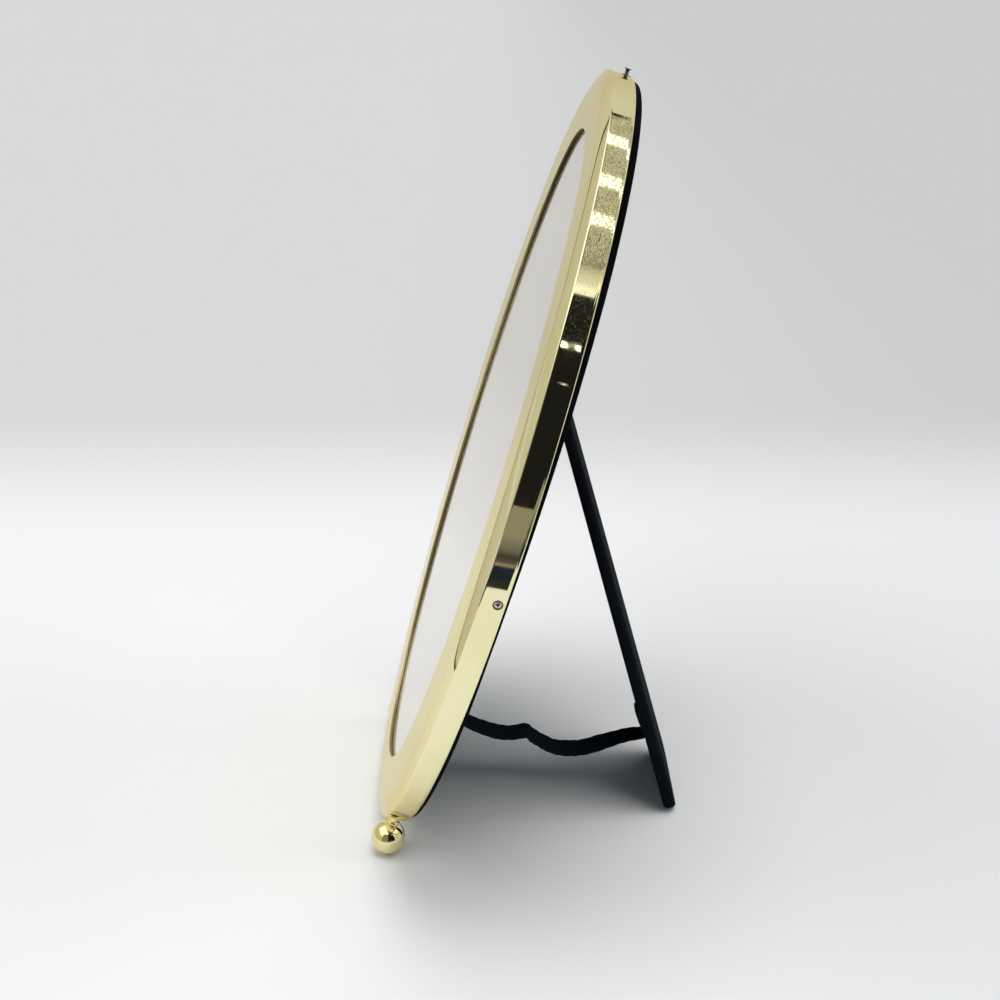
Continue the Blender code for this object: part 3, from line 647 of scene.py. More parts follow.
def set_out(name, shape, places, material):
    """Copies of a shape on (point, outward) places, each with its own Z axis along outward."""
    carrier = piece_from(name, [point for point, _ in places], [])
    outward = carrier.data.attributes.new("outward", "FLOAT_VECTOR", "POINT")
    outward.data.foreach_set("vector", [part for _, way in places for part in way])
    sockets = (("Points", "Geometry"), ("Shape", "Object"), ("Size", "Float"))
    tree, given, result = new_tree(f"{name} set out", sockets, "Pieces")
    info = add_node(tree, "GeometryNodeObjectInfo")
    named = "GeometryNodeInputNamedAttribute"
    read = add_node(tree, named, {"Name": "outward"}, data_type="FLOAT_VECTOR")
    turn = add_node(tree, "FunctionNodeAlignRotationToVector", axis="Z")
    to_points = add_node(tree, "GeometryNodeMeshToPoints")
    put = add_node(tree, "GeometryNodeInstanceOnPoints")
    real = add_node(tree, "GeometryNodeRealizeInstances")
    paint = add_node(tree, "GeometryNodeSetMaterial", {"Material": material})
    wire(
        tree,
        (given, "Points", to_points, "Mesh"),
        (to_points, "Points", put, "Points"),
        (given, "Shape", info, "Object"),
        (info, "Geometry", put, "Instance"),
        (read, "Attribute", turn, "Vector"),
        (turn, "Rotation", put, "Rotation"),
        (given, "Size", put, "Scale"),
        (put, "Instances", real, "Geometry"),
        (real, "Geometry", paint, "Geometry"),
        (paint, "Geometry", result, "Pieces"),
    )
    run_tree(carrier, tree, {"Shape": shape, "Size": 1.0})
    bpy.data.objects.remove(shape, do_unlink=True)
    return carrier


def add_pile(obj, material, density, length, seed, radius=0.000018):
    """Sparse standing fibres on the faces marked fuzzy, joined to the piece's own mesh."""
    sizes = {"Density": density, "Length": length, "Radius": radius}
    sockets = [("Cloth", "Geometry"), *((name, "Float") for name in sizes)]
    tree, given, result = new_tree(f"{obj.name} pile", sockets, "Cloth with pile")
    fuzzy = add_node(tree, "GeometryNodeInputNamedAttribute", {"Name": "fuzzy"}, data_type="FLOAT")
    thick = add_node(tree, "ShaderNodeMath", operation="MULTIPLY")
    scatter = add_node(tree, "GeometryNodeDistributePointsOnFaces", {"Seed": seed})
    fibre = add_node(tree, "GeometryNodeMeshCone", {"Vertices": 3})
    leaning = {"Min": (-0.7, -0.7, 0), "Max": (0.7, 0.7, 6.28), "Seed": seed + 1}
    lean = add_node(tree, "FunctionNodeRandomValue", leaning, data_type="FLOAT_VECTOR")
    turn = add_node(tree, "FunctionNodeRotateRotation", rotation_space="LOCAL")
    # A random float's own least, most and result have the same names as the vector's
    least, most, drawn = 2, 3, 1
    heights = {least: 0.4, most: 1.0, "Seed": seed + 2}
    tall = add_node(tree, "FunctionNodeRandomValue", heights, data_type="FLOAT")
    put = add_node(tree, "GeometryNodeInstanceOnPoints")
    real = add_node(tree, "GeometryNodeRealizeInstances")
    paint = add_node(tree, "GeometryNodeSetMaterial", {"Material": material})
    join = add_node(tree, "GeometryNodeJoinGeometry")
    wire(
        tree,
        (given, "Cloth", scatter, "Mesh"),
        (fuzzy, "Attribute", thick, 0),
        (given, "Density", thick, 1),
        (thick, "Value", scatter, "Density"),
        (given, "Length", fibre, "Depth"),
        (given, "Radius", fibre, "Radius Bottom"),
        (scatter, "Points", put, "Points"),
        (scatter, "Rotation", turn, "Rotation"),
        (lean, "Value", turn, "Rotate By"),
        (turn, "Rotation", put, "Rotation"),
        (fibre, "Mesh", put, "Instance"),
        (tall, drawn, put, "Scale"),
        (put, "Instances", real, "Geometry"),
        (real, "Geometry", join, "Geometry"),
        (given, "Cloth", join, "Geometry"),
        (join, "Geometry", paint, "Geometry"),
        (paint, "Geometry", result, "Cloth with pile"),
    )
    return run_tree(obj, tree, sizes)


# Front


def oval_ring(half_wide, half_high, z, steps):
    turns = [math.tau * step / steps for step in range(steps)]
    return [(half_wide * math.cos(turn), half_high * math.sin(turn), z) for turn in turns]


def crown_point(share, below=0.0):
    z = CROWN_FOOT + (FACE_PROUD - CROWN_FOOT) * (1 - (1 - share) ** 2)
    return CROWN_INSET + CROWN_WIDTH * share, z - below


def make_front():
    """The pressed sheet: lip, flat face, crown, band, and a rear edge that turns in a little."""
    steps = 512
    face_rear = FACE_PROUD - SHEET
    opening = [(0, face_rear), (0, face_rear + CRISP), (0, FACE_PROUD - LIP_ROUNDING - CRISP)]
    lip_rings = len(opening) + 1
    opening += arc((LIP_ROUNDING, FACE_PROUD - LIP_ROUNDING), LIP_ROUNDING, 180, 90, 4)
    opening += [(LIP_ROUNDING + 2 * CRISP, FACE_PROUD)]
    outer = [crown_point(step / 14) for step in range(14, 0, -1)]
    outer += arc((EDGE_RADIUS, -EDGE_RADIUS), EDGE_RADIUS, 90 + math.degrees(CROWN_SLOPE), 180, 6)
    band_from = len(opening) + len(outer)
    outer += [(0, z) for z in (-0.0006, -0.0010, -0.0030, CREASE_Z + 2 * CRISP, CREASE_Z + CREASE_BEND)]
    outer += [(CREASE_BEND / 2, CREASE_Z - CREASE_BEND), (REAR_TURN - 0.00001, -0.00555)]
    band_to = len(opening) + len(outer)
    outer += arc((REAR_TURN + REAR_ROUNDING, -BAND_DEPTH + REAR_ROUNDING), REAR_ROUNDING, 190, 270, 5)
    outer += [(SHEET - CRISP, -BAND_DEPTH), (SHEET, -BAND_DEPTH + CRISP), (SHEET, CROWN_FOOT - SHEET)]
    outer += [crown_point(share, SHEET) for share in (0.3, 0.6, 1.0)]
    rings = [oval_ring(OPENING_HALF_WIDTH + out, OPENING_HALF_HEIGHT + out, z, steps) for out, z in opening]
    rings += [oval_ring(HALF_WIDTH - inset, HALF_HEIGHT - inset, z, steps) for inset, z in outer]
    front = loft("brass_front", rings)

    def ring_of(face):
        return min(vertex // steps for vertex in face.vertices)

    mark_faces(front, "on_band", lambda face: band_from <= ring_of(face) < band_to)
    # The lip's cut edge takes the duller colour and painted shade of the brass finish
    mark_faces(front, "cut_edge", lambda face: ring_of(face) < lip_rings)
    for place, outward, _ in screw_places():
        cut_with(front, screw_hole(place, outward))
    front.data.transform(FRONT_PLACE)
    smooth(front, 30)
    return dress(front, BRASS, "polished_brass", "front", "front_frame")


def screw_hole(place, outward):
    """The cutter for one screw: a countersink over a drilled hole."""
    over, seat, throat, deep = 0.001, -0.00035, -0.00085, -0.002
    profile = [(0, over), (HOLE_RADIUS, over), (HOLE_RADIUS, seat)]
    profile += [(DRILL_RADIUS, throat), (DRILL_RADIUS, deep), (0, deep)]
    hole = turned("screw_hole", profile)
    aim = Vector(outward).to_track_quat("Z", "Y").to_matrix().to_4x4()
    hole.data.transform(Matrix.Translation(place) @ aim)
    # The hole's walls take the cut edge colour, with its painted shade
    mark_faces(hole, "cut_edge", lambda face: True)
    return hole


def screw_places():
    """Place on the band's outer face, outward direction, and how far the head stands out."""
    z = -SCREW_DEPTH
    return (
        ((0, HALF_HEIGHT, z), (0, 1, 0), TOP_SCREW_PROUD),
        ((0, -HALF_HEIGHT, z), (0, -1, 0), -SCREW_SUNK),
        ((HALF_WIDTH, 0, z), (1, 0, 0), -SCREW_SUNK),
        ((-HALF_WIDTH, 0, z), (-1, 0, 0), -SCREW_SUNK),
    )


def cross_bar(half_x, half_y):
    """One bar of the screw head's cross recess, narrower at its bottom."""
    bar = bmesh.new()
    bmesh.ops.create_cube(bar, size=2)
    for vertex in bar.verts:
        deep = vertex.co.z < 0
        narrow = CROSS_TAPER if deep else 1.0
        vertex.co.x *= half_x * narrow
        vertex.co.y *= half_y * narrow
        vertex.co.z = -CROSS_DEPTH if deep else CROSS_OVER
    cross = piece_of("cross", bar)
    # The recess that this bar cuts takes painted shade
    mark_faces(cross, "under_head", lambda face: True)
    return cross


def screw_shape():
    """A small countersunk screw with a cross recess and a thread that starts under the head."""
    head, shank = SCREW_HEAD_RADIUS, SCREW_SHANK_RADIUS
    rows, close = 96, 1e-5
    profile = [
        (0, 0),
        (head * 0.82, 0),
        (head * 0.95, -0.00003),
        (head, -0.00009),
        (head * 0.97, -0.00013),
        (shank + 0.0001, -0.00048),
        (shank, -0.0006),
    ]
    profile += [(shank, THREAD_TOP + (THREAD_END - THREAD_TOP) * row / rows) for row in range(rows + 1)]
    profile += [(shank * 0.5, -SCREW_LENGTH + 0.0005), (0, -SCREW_LENGTH)]
    screw = turned("screw_shape", profile, 32)
    # The faces below the head take painted shade
    mark_faces(screw, "under_head", lambda face: face.center.z < -0.0001)
    for vertex in screw.data.vertices:
        x, y, z = vertex.co
        if THREAD_END - close < z < THREAD_TOP + close and vertex.co.xy.length > close:
            ridge = abs(((z / THREAD_PITCH - math.atan2(y, x) / math.tau) % 1) * 2 - 1)
            vertex.co.xy = vertex.co.xy.normalized() * (shank + THREAD_HEIGHT * ridge)
    cut_with(screw, cross_bar(CROSS_REACH, CROSS_HALF_WIDTH))
    cut_with(screw, cross_bar(CROSS_HALF_WIDTH, CROSS_REACH))
    return smooth(screw, 40)


def make_rim_screws():
    places = []
    for place, outward, proud in screw_places():
        place = Vector(place) + Vector(outward) * proud
        places.append((FRONT_PLACE @ place, (FRONT_TURN @ Vector(outward)).normalized()))
    screws = set_out("rim_screws", screw_shape(), places, SCREW_METAL)
    nodes = [f"rim_screw_{side}" for side in ("top", "bottom", "right", "left")]
    return dress(screws, SCREW_METAL, "screw_steel", "front", *nodes)


def ball_shape():
    """A foot's ball, with its seat at the origin."""
    flat = math.sqrt(BALL_RADIUS**2 - BALL_FLAT_RADIUS**2)
    start = math.degrees(math.asin(flat / BALL_RADIUS))
    profile = [(0, 0), (BALL_FLAT_RADIUS * 0.6, 0)]
    profile += arc((0, -flat), BALL_RADIUS, start, -90, 56)[:-1]
    profile += [(0, -flat - BALL_RADIUS)]
    return smooth(turned("ball_shape", profile, 96), 40)


def collar_shape():
    """The turned bead on the ball's seat, with a neck that is longer than its gap to the band."""
    profile = [(0, SEAT_GAP), (0.0008, SEAT_GAP)]
    profile += arc(BEAD_MIDDLE, BEAD_ROUNDING, -90, 75, 14)
    profile += [(NECK_RADIUS + 0.00002, 0.00165), (NECK_RADIUS, 0.0019)]
    profile += [(NECK_RADIUS, NECK_TOP), (0, NECK_TOP)]
    return smooth(turned("collar_shape", profile[::-1], 64), 40)


def make_feet():
    """Two balls, each under a turned bead and neck that end on the band."""
    band_y = -HALF_HEIGHT * math.sqrt(1 - (FOOT_X / HALF_WIDTH) ** 2)
    spots = [FRONT_PLACE @ Vector((side * FOOT_X, band_y - FOOT_GAP, -FOOT_DEPTH)) for side in (1, -1)]
    up = FRONT_TURN @ Vector((0, 1, 0))
    places = [(spot, up) for spot in spots]
    balls = set_out("ball_feet", ball_shape(), places, TURNED)
    dress(balls, TURNED, "turned_brass", "front", "ball_foot_right", "ball_foot_left")
    collars = set_out("foot_collars", collar_shape(), places, TURNED)
    wide, high = HALF_WIDTH + SEAT_GAP, HALF_HEIGHT + SEAT_GAP
    room = [oval_ring(wide, high, z, 512) for z in (-BAND_ROOM, BAND_ROOM)]
    cut_with(collars, loft("band_room", room, ends="filled", place=FRONT_PLACE))
    smooth(collars, 40)
    return dress(collars, TURNED, "turned_brass", "front", "foot_collar_right", "foot_collar_left")


# Velvet back


def rim_lift(turn):
    """How far the velvet's rear rim stands behind the flat back, at this place round the oval."""
    up = math.degrees(math.asin(math.sin(turn)))
    flat = -BAND_DEPTH - BACK
    return value_at(up, RIM_PROUD) - flat


def make_board_velvet():
    """The board's velvet: a flat back whose padded rim stands out most near the top."""
    steps = 384
    half_wide, half_high = HALF_WIDTH - FILL_INSET, HALF_HEIGHT - FILL_INSET
    lap = BOARD_LAP
    rings = [oval_ring(HALF_WIDTH - lap, HALF_HEIGHT - lap, BOARD_FRONT, steps)]
    rings += [oval_ring(half_wide, half_high, z, steps) for z in (BOARD_FRONT, -0.0045, -0.0056)]
    angles = np.linspace(0, math.pi / 2, 7)
    rounding = BACK_ROUNDING
    rim = [(rounding - rounding * math.cos(angle), rounding * math.sin(angle)) for angle in angles]
    rim += [(inset, rounding) for inset in (0.0012, 0.002, 0.003, 0.0045, RIM_WIDTH)]
    for inset, out in rim:
        fade = 1 - min(max((inset - rounding) / RIM_FADE, 0), 1)
        fade = fade * fade * (3 - 2 * fade)
        ring = []
        for step in range(steps):
            turn = math.tau * step / steps
            x = (half_wide - inset) * math.cos(turn)
            y = (half_high - inset) * math.sin(turn)
            ring.append((x, y, BACK + rounding - out - rim_lift(turn) * fade))
        rings.append(ring)
    flat_wide, flat_high = half_wide - RIM_WIDTH, half_high - RIM_WIDTH
    for share in (0.85, 0.7, 0.55, 0.4, 0.25, 0.1):
        rings.append(oval_ring(flat_wide * share, flat_high * share, BACK, steps))
    cover = loft("board_velvet", rings, ends="filled")
    mark_faces(cover, "fuzzy", lambda face: face.center.z < FUZZ_Z and face.area < RIM_FACE_AREA)
    cover.data.transform(FRONT_PLACE)
    smooth(cover, 50)
    add_pile(cover, SHADED_BACK_VELVET, density=4.0e6, length=0.00030, seed=11)
    return dress(cover, SHADED_BACK_VELVET, "black_velvet", "front", "back_velvet")


# Strut


def rounded_outline(corners, steps):
    """An outline through (x, y, radius) corners, each rounded by its own radius."""
    points = []
    for index, (x, y, radius) in enumerate(corners):
        here = Vector((x, y))
        before = Vector(corners[index - 1][:2]) - here
        after = Vector(corners[(index + 1) % len(corners)][:2]) - here
        half = before.angle(after) / 2
        way = (before.normalized() + after.normalized()).normalized()
        middle = here + way * radius / math.sin(half)
        start = here + before.normalized() * radius / math.tan(half) - middle
        end = here + after.normalized() * radius / math.tan(half) - middle
        sweep = start.angle_signed(end)
        for step in range(steps + 1):
            points.append(middle + Matrix.Rotation(-sweep * step / steps, 2) @ start)
    return points


def strut_outline(inset):
    top = STRUT_TOP_WIDTH / 2 - inset
    foot = STRUT_FOOT_WIDTH / 2 - inset
    high = STRUT_HEEL - inset
    low = -STRUT_LENGTH + inset
    top_corner = STRUT_TOP_CORNER - inset
    foot_corner = STRUT_FOOT_CORNER - inset
    corners = [(top, high, top_corner), (-top, high, top_corner)]
    corners += [(-foot, low, foot_corner), (foot, low, foot_corner)]
    return rounded_outline(corners, 10)


def hinge_notch():
    """The cutter for the room round the hinge at the strut's upper end."""
    half = HINGE_HALF_WIDTH + NOTCH_AIR
    above, through = 0.0048, 0.005
    low = Vector((-half, -KNUCKLE_RADIUS - NOTCH_BELOW, -through))
    high = Vector((half, above, through))
    room = bmesh.new()
    bmesh.ops.create_cube(room, size=1)
    for corner in room.verts:
        corner.co = Vector([(a + b) / 2 + side * (b - a) for a, b, side in zip(low, high, corner.co)])
    return piece_of("notch", room)


def make_strut_velvet():
    """The strut's velvet cover, cut away round the hinge and flat where it stands on the floor."""
    rounding = STRUT_ROUNDING
    angles = np.linspace(0, math.pi / 2, 6)
    rings = []
    for side, face in ((1, STRUT_FRONT), (-1, STRUT_REAR)):
        for angle in angles[::side]:
            z = face - side * rounding * (1 - math.cos(angle))
            outline = strut_outline(rounding * (1 - math.sin(angle)))
            rings.append([(point.x, point.y, z) for point in outline])
    cover = loft("strut_velvet_cover", rings, ends="filled")
    cut_with(cover, hinge_notch())
    middle = (STRUT_FRONT + STRUT_REAR) / 2
    for vertex in cover.data.vertices:
        turned_in = min(1.0, max(0.0, (-vertex.co.y - HEM_FROM) / HEM_REACH))
        vertex.co.z += HEM_THICK * turned_in * (1 if vertex.co.z > middle else -1)
    cover.data.transform(STRUT_PLACE)
    for vertex in cover.data.vertices:
        vertex.co.z = max(vertex.co.z, 0.0)
    smooth(cover, 50)
    mark_faces(cover, "fuzzy", lambda face: face.area < SIDE_FACE_AREA and face.center.z > 0.0004)
    add_pile(cover, VELVET, density=3.5e6, length=0.00028, seed=21)
    return dress(cover, VELVET, "black_velvet", "strut", "strut_velvet")


# Ribbon


def from_strut(y, z):
    """A point of the strut's own plane, as (y, z) under the front's axes."""
    return Vector(
        (
            HINGE_HEIGHT + y * math.cos(STRUT_OPEN) - z * math.sin(STRUT_OPEN),
            PIN_Z + y * math.sin(STRUT_OPEN) + z * math.cos(STRUT_OPEN),
        )
    )


def smooth_path(points, steps):
    """Points on a smooth curve through these."""
    ends = [points[0], *points, points[-1]]
    path = []
    for before, here, after, beyond in zip(ends, ends[1:], ends[2:], ends[3:]):
        for step in range(steps):
            share = step / steps
            path.append(
                here
                + (after - before) * share / 2
                + (before * 2 - here * 5 + after * 4 - beyond) * share**2 / 2
                + (here * 3 - before - after * 3 + beyond) * share**3 / 2
            )
    return [*path, points[-1]]


def ribbon_path():
    """The strap's middle line, as (y, z) under the front's axes: tab, turn, sag, turn, tab."""
    off = RIBBON_GAP + RIBBON_THICK / 2
    board_z = BACK - off
    strut_z = STRUT_FRONT + off
    bend = 1.5 * RIBBON_THICK
    strut_y = -STRUT_LENGTH + RIBBON_UP_STRUT
    start = Vector((-RIBBON_ON_BOARD, board_z - bend))
    end = from_strut(strut_y, strut_z + bend)
    down = Vector((-math.cos(LEAN), -math.sin(LEAN)))
    span = [start + (end - start) * share + down * RIBBON_DROP * drop for share, drop in RIBBON_SAG]
    tab = (RIBBON_TAB, RIBBON_TAB / 2, 1.6 * bend)
    board_tab = [Vector((-RIBBON_ON_BOARD + y, board_z)) for y in tab]
    board_turn = [start + Vector((0.35 * bend, 0.55 * bend))]
    strut_turn = [from_strut(strut_y + 0.30 * bend, strut_z + 0.45 * bend)]
    strut_tab = [from_strut(strut_y + y, strut_z) for y in tab[::-1]]
    return smooth_path(board_tab + board_turn + span + strut_turn + strut_tab, 6)


def ribbon_outline(half, thick):
    """The strap's section as (across, out) points."""
    steps = 12
    there = [(half * (2 * step / steps - 1), thick) for step in range(steps + 1)]
    return there + [(x, -out) for x, out in there[::-1]]


def make_ribbon():
    """The slack strap, joined to the board at one end and folded over at the other, on the strut."""
    path = ribbon_path()
    half, thick = RIBBON_WIDTH / 2, RIBBON_THICK * RIBBON_PRESSED
    outline = ribbon_outline(half, thick)
    last = len(path) - 1
    off_strut = (from_strut(0, 1) - from_strut(0, 0)).normalized()
    rings, lengths, along = [], [], 0.0
    for index, point in enumerate(path):
        ahead = path[min(index + 1, last)] - path[max(index - 1, 0)]
        side = Vector((-ahead.y, ahead.x)).normalized()
        roll = math.radians(value_at(index / last, RIBBON_ROLL))
        if index:
            along += (point - path[index - 1]).length
        lengths.append(along)
        folded = max(0.0, 1 - (last - index) / FOLD_STEPS) ** 0.5
        uneven = 1 + 0.03 * math.sin(index * 1.7) + 0.02 * math.sin(index * 0.61 + 1)
        ring = []
        for x, out in outline:
            squeeze = (1 - 0.35 * (abs(x) / half) ** 6) * (1 + folded)
            wide = x * uneven
            rise = out * squeeze * math.cos(roll) + wide * math.sin(roll)
            spot = point + off_strut * folded * thick + side * rise
            ring.append((wide * math.cos(roll) - out * math.sin(roll), spot.x, spot.y))
        rings.append(ring)
    strap = loft("ribbon", rings, ends="filled")
    uv = strap.data.uv_layers.new(name="along")
    for loop in strap.data.loops:
        ring, step = divmod(loop.vertex_index, len(outline))
        uv.data[loop.index].uv = (lengths[ring], outline[step][0])
    strap.data.transform(FRONT_PLACE)
    smooth(strap, 50)
    strap.data.materials.append(RIBBON)
    mark_faces(strap, "fuzzy", lambda face: True)
    add_pile(strap, RIBBON, density=3.0e6, length=0.00034, seed=31)
    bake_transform(strap)
    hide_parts("ribbon_strap")
    return strap


# Hinge


def dressed_copy(name, node, material, slot, body, width=0.00008):
    """A welded copy of a CAD node with soft edges."""
    obj = NODES[node].copy()
    obj.data = NODES[node].data.copy()
    obj.name = obj.data.name = name
    obj.parent = None
    for key in list(obj.keys()):
        del obj[key]
    bpy.context.scene.collection.objects.link(obj)
    shape = bmesh.new()
    shape.from_mesh(obj.data)
    bmesh.ops.remove_doubles(shape, verts=shape.verts, dist=2e-6)
    bmesh.ops.dissolve_limit(shape, angle_limit=math.radians(1), verts=shape.verts, edges=shape.edges)
    bmesh.ops.recalc_face_normals(shape, faces=shape.faces)
    shape.to_mesh(obj.data)
    shape.free()
    if "custom_normal" in obj.data.attributes:
        obj.data.attributes.remove(obj.data.attributes["custom_normal"])
    smooth(obj, 32)
    edge = obj.modifiers.new("soft edges", "BEVEL")
    edge.width = width
    edge.segments = 2
    edge.limit_method = "ANGLE"
    edge.angle_limit = math.radians(40)
    edge.harden_normals = True
    bring_in(obj, edge)
    return dress(obj, material, slot, body, node)


def rivet_shape():
    """A domed head, a little undercut where it meets the leaf."""
    angles = np.linspace(0.12, math.pi / 2, 12)
    dome = [(0, RIVET_DOME)]
    dome += [(RIVET_RADIUS * math.sin(angle), RIVET_DOME * math.cos(angle)) for angle in angles]
    foot = -SEAT_GAP / 2
    return smooth(turned("rivet_shape", dome + [(RIVET_RADIUS - 0.0002, foot), (0, foot)], 48), 50)


def make_rivets(name, body, place, y, z, *nodes):
    """A pair of rivets on the rear of a leaf or board, at this height and depth of its own plane."""
    rear = place.to_3x3() @ Vector((0, 0, -1))
    spots = [place @ Vector((side * RIVET_X, y, z)) for side in (1, -1)]
    rivets = set_out(name, rivet_shape(), [(spot, rear) for spot in spots], RIVET_METAL)
    return dress(rivets, RIVET_METAL, "rivet_steel", body, *nodes)


def make_hinge():
    dressed_copy("hinge_leaf_on_board", "hinge_board_leaf", HINGE_METAL, "hinge_steel", "front")
    dressed_copy("hinge_leaf_on_strut", "hinge_strut_leaf", HINGE_METAL, "hinge_steel", "strut")
    dressed_copy("hinge_pin_rod", "hinge_pin", RIVET_METAL, "rivet_steel", "front", 0.0001)
    leaf_z = PIN_Z + KNUCKLE_RADIUS - LEAF_THICK
    on_board = (HINGE_HEIGHT + RIVET_FROM_PIN, leaf_z - SEAT_GAP)
    on_strut = (-RIVET_FROM_PIN, STRUT_REAR - SEAT_GAP)
    make_rivets("board_rivets", "front", FRONT_PLACE, *on_board, "board_rivet_right", "board_rivet_left")
    make_rivets("strut_rivets", "strut", STRUT_PLACE, *on_strut, "strut_rivet_right", "strut_rivet_left")


# Studio


def stage_plane(name, corners, material):
    plane = piece_from(name, corners, [tuple(range(len(corners)))])
    plane.data.materials.append(material)
    return plane


def upright(x, y0, y1, z0, z1):
    return [(x, y0, z0), (x, y1, z0), (x, y1, z1), (x, y0, z1)]


def level(z, x0, x1, y0, y1):
    return [(x0, y0, z), (x1, y0, z), (x1, y1, z), (x0, y1, z)]


def floor_finish():
    """Plain pale paper, with painted shade: greyer behind the object, for the backdrop, and to the right.
    """
    look = Finish("pale_floor", (0.80, 0.80, 0.80), roughness=1.0, Specular_IOR_Level=0.0)
    at = look.place()
    # Painted shade: grey behind the object for the backdrop, and darker towards the right
    away = look.ramp(look.axis(at, "X"), -0.16, -0.33)
    right_shade_share = look.ramp(look.axis(at, "Y"), -0.10, 0.35)
    paper = look.blend(look.noise(at, 3.0, 2.0), (0.80, 0.795, 0.785), (0.81, 0.805, 0.795))
    near = look.blend(right_shade_share, paper, (0.71, 0.71, 0.715))
    wall = look.blend(right_shade_share, (0.612, 0.607, 0.597), (0.535, 0.534, 0.533))
    look.colour(look.blend(away, near, wall))
    return look.material


def glow_card(name, corners, colour, strength=1.0):
    """A card that only polished surfaces see."""
    material = bpy.data.materials.new(name)
    material.use_nodes = True
    tree = emptied(material.node_tree)
    glow = add_node(tree, "ShaderNodeEmission", {"Color": (*colour, 1), "Strength": strength})
    out = add_node(tree, "ShaderNodeOutputMaterial")
    wire(tree, (glow, "Emission", out, "Surface"))
    card = stage_plane(name, corners, material)
    for ray in ("camera", "diffuse", "shadow", "transmission", "volume_scatter"):
        setattr(card, f"visible_{ray}", False)
    return card


def glow_ramp(name, corners, stops, strength=1.0):
    """A glow card whose colour changes along X through these stops."""
    card = glow_card(name, corners, stops[0][1], strength)
    tree = card.data.materials[0].node_tree
    low, high = stops[0][0], stops[-1][0]
    place = add_node(tree, "ShaderNodeTexCoord")
    split = add_node(tree, "ShaderNodeSeparateXYZ")
    share = add_node(tree, "ShaderNodeMapRange", {"From Min": low, "From Max": high})
    tones = add_node(tree, "ShaderNodeValToRGB")
    while len(tones.color_ramp.elements) < len(stops):
        tones.color_ramp.elements.new(0.5)
    for element, (x, colour) in zip(tones.color_ramp.elements, stops):
        element.position = (x - low) / (high - low)
        element.color = (*colour, 1)
    wire(
        tree,
        (place, "Object", split, "Vector"),
        (split, "X", share, "Value"),
        (share, "Result", tones, "Fac"),
    )
    tree.links.new(tones.outputs["Color"], tree.nodes["Emission"].inputs["Color"])
    return card


def make_ceiling():
    """Three strip lamps and dim panels above, which the upper band mirrors."""
    high = 1.2
    bright, dark = (1.0, 1.0, 0.97), (0.006, 0.006, 0.003)
    stops = (
        (-0.665, (0.115, 0.112, 0.095)),
        (-0.655, dark),
        (-0.615, dark),
        (-0.610, (0.118, 0.113, 0.090)),
        (-0.338, (0.108, 0.104, 0.084)),
        (-0.332, bright),
        (-0.225, bright),
        (-0.215, (0.098, 0.095, 0.076)),
        (0.060, (0.088, 0.085, 0.066)),
        (0.072, bright),
        (0.155, bright),
        (0.168, (0.074, 0.072, 0.056)),
        (0.370, (0.076, 0.074, 0.058)),
        (0.380, bright),
        (0.460, bright),
        (0.472, (0.078, 0.076, 0.060)),
        (0.680, (0.076, 0.074, 0.060)),
        (0.760, (0.063, 0.060, 0.047)),
        (0.795, (0.066, 0.063, 0.050)),
        (0.820, (0.150, 0.146, 0.120)),
        (0.900, (0.215, 0.205, 0.180)),
        (0.970, (0.255, 0.245, 0.220)),
        (1.010, (0.330, 0.330, 0.315)),
        (1.300, (0.330, 0.330, 0.315)),
    )
    glow_ramp("ceiling", level(high, stops[0][0], 1.3, 0.05, 2.0), stops, 3.4)
    glow_card("front_ceiling", level(high, -0.6, 1.3, -1.6, 0.05), (1, 1, 0.97), 1.5)


def make_side_cards():
    """What stands behind the camera: dark, brown and olive areas, and three small lights."""
    x, low, high = 0.60, 0.065, 0.71
    glow_card("dark_card", upright(x, -0.02, 0.6, low, high), (0.012, 0.012, 0.014))
    glow_card("brown_card", upright(x, -0.5, -0.02, low, high), (0.26, 0.22, 0.16))
    sides, slant = 16, 0.31
    angles = [math.tau * step / sides for step in range(sides)]
    sparks = (
        (0.1960, 0.4789, 0.0029, 0.0112),
        (0.2074, 0.4769, 0.0018, 0.0112),
        (0.1594, 0.3610, 0.0012, 0.0014),
    )
    for index, (y, z, wide, tall) in enumerate(sparks):
        spark = []
        for angle in angles:
            rise = tall * math.sin(angle)
            spark.append((x - 0.005, y + wide * math.cos(angle) + slant * rise, z + rise))
        glow_card(f"spark_{index}", spark, (1, 1, 1), 4.0)
    glow_card("green_card", upright(x, -0.5, 0.6, 0.0, low), (0.27, 0.26, 0.22))


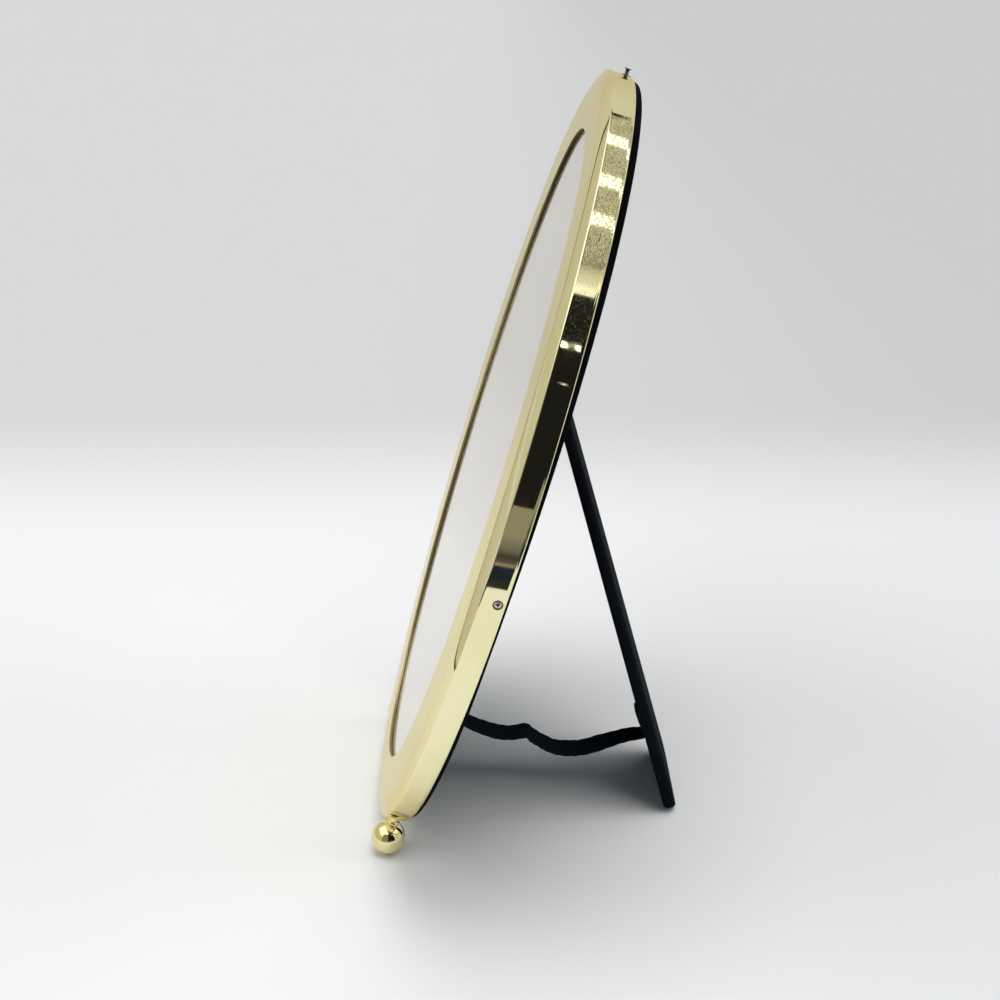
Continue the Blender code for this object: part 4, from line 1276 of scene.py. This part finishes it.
def make_low_cards():
    """The table's edge in front, and the paper that lies under the object and rises behind it."""
    table = (
        (0.305, (0.022, 0.028, 0.022)),
        (0.335, (0.020, 0.026, 0.026)),
        (0.340, (0.012, 0.018, 0.045)),
        (0.384, (0.014, 0.020, 0.045)),
        (0.388, (0.34, 0.31, 0.25)),
        (0.397, (0.26, 0.24, 0.20)),
        (0.402, (0.10, 0.09, 0.09)),
        (0.430, (0.05, 0.045, 0.045)),
        (0.475, (0.16, 0.155, 0.14)),
        (0.600, (0.28, 0.27, 0.23)),
    )
    glow_ramp("table_card", level(0.001, 0.305, 0.60, -0.5, 0.5), table)
    rise = ((-0.9, (0.68, 0.68, 0.665)), (-0.5, (0.68, 0.68, 0.66)), (-0.22, (0.86, 0.85, 0.84)))
    glow_ramp("paper_rise", level(0.0005, -0.9, -0.22, -0.5, 2.0), rise)
    glow_card("wall_card", upright(-0.9, -0.5, 2.0, 0.0, 1.6), (0.69, 0.69, 0.67))
    shade = (0.05, 0.04, 0.02)
    inner = ((0.30, -0.32), (-0.12, -0.203), (-0.30, -0.168), (-0.9, -0.50))
    outer = ((-0.9, -0.54), (-0.30, -0.188), (-0.12, -0.214), (0.30, -0.325))
    beyond = ((-0.9, -3), (0.30, -3))
    glow_card("paper_edge", [(x, y, 0.002) for x, y in inner + outer], shade)
    glow_card("wall_edge", upright(-0.895, -0.54, -0.50, 0.0, 1.6), shade)
    glow_card("side_floor", [(x, y, 0.001) for x, y in inner + beyond], ROOM_TONE)


def make_world():
    """A soft blue light for the object, a plain room for what mirrors it, and a pale backdrop."""
    world = bpy.data.worlds.new("studio")
    bpy.context.scene.world = world
    world.use_nodes = True
    tree = emptied(world.node_tree)
    out = add_node(tree, "ShaderNodeOutputWorld")
    path = add_node(tree, "ShaderNodeLightPath")
    lights = {"Color": (0.72, 0.88, 1.0, 1), "Strength": 0.163 * LIGHT_LEVEL}
    lit = add_node(tree, "ShaderNodeBackground", lights)
    seen = add_node(tree, "ShaderNodeBackground", {"Color": (0.80, 0.80, 0.81, 1)})
    mirrored = add_node(tree, "ShaderNodeBackground", {"Color": (*ROOM_TONE, 1)})
    gloss_mix = add_node(tree, "ShaderNodeMixShader")
    camera_mix = add_node(tree, "ShaderNodeMixShader")
    wire(
        tree,
        (path, "Is Glossy Ray", gloss_mix, "Fac"),
        (lit, "Background", gloss_mix, 1),
        (mirrored, "Background", gloss_mix, 2),
        (path, "Is Camera Ray", camera_mix, "Fac"),
        (gloss_mix, "Shader", camera_mix, 1),
        (seen, "Background", camera_mix, 2),
        (camera_mix, "Shader", out, "Surface"),
    )


def make_lamps():
    """Wide soft lamps, by the degrees that each stands above the floor and round from +X."""
    warm, cool = (1.0, 0.99, 0.98), (0.94, 0.97, 1.0)
    lamps = (
        ("overhead", 90, 0, 0.48, warm),
        ("high_back", 68, 60, 0.21, warm),
        ("front", 45, -90, 0.19, warm),
        ("front_near", 45, -45, 0.12, warm),
        ("low_back", 22, 90, 0.24, cool),
    )
    for name, height, turn, share, colour in lamps:
        lamp = bpy.data.lights.new(name, "SUN")
        lamp.energy = share * math.pi * LIGHT_LEVEL
        lamp.angle = math.radians(35)
        lamp.color = colour
        up, about = math.radians(height), math.radians(turn)
        toward = Vector((math.cos(up) * math.cos(about), math.cos(up) * math.sin(about), math.sin(up)))
        source = new_object(name, lamp)
        source.rotation_euler = (-toward).to_track_quat("-Z", "Y").to_euler()
        source.visible_glossy = False


def make_studio():
    """Floor, lamps, and the room that polished metal mirrors, laid out from the photo's mirrored bands."""
    stage_plane("floor", level(0.0, -6, 6, -6, 6), floor_finish())
    make_ceiling()
    make_side_cards()
    make_low_cards()
    make_world()
    make_lamps()


def make_camera():
    """The camera that the photo was solved to: its focal length in pixels of the 1000-pixel photo."""
    focal_pixels, photo_pixels = 1317.0, 1000
    look = Vector((-0.9119, 0.0036, -0.4104)).normalized()
    camera = new_object("camera", bpy.data.cameras.new("camera"))
    camera.data.sensor_width = 36.0
    camera.data.lens = focal_pixels * camera.data.sensor_width / photo_pixels
    camera.data.clip_start = 0.01
    camera.location = (0.3267, CENTRE.y + 0.0034, 0.2400)
    back = -look
    right = Vector((0, 0, 1)).cross(back).normalized()
    turn = Matrix((right, back.cross(right), back)).transposed()
    camera.rotation_euler = turn.to_euler()
    bpy.context.scene.camera = camera


def main():
    make_camera()
    make_studio()
    repaint("glass_pane", GLASS)
    repaint("picture_insert", CARD)
    repaint("back_board", BOARD)
    repaint("strut_board", BOARD)
    repaint("foot_stud_right", SCREW_METAL)
    repaint("foot_stud_left", SCREW_METAL)
    make_front()
    make_rim_screws()
    make_feet()
    make_board_velvet()
    make_strut_velvet()
    make_ribbon()
    make_hinge()
    bpy.context.scene.view_settings.view_transform = "Standard"


main()
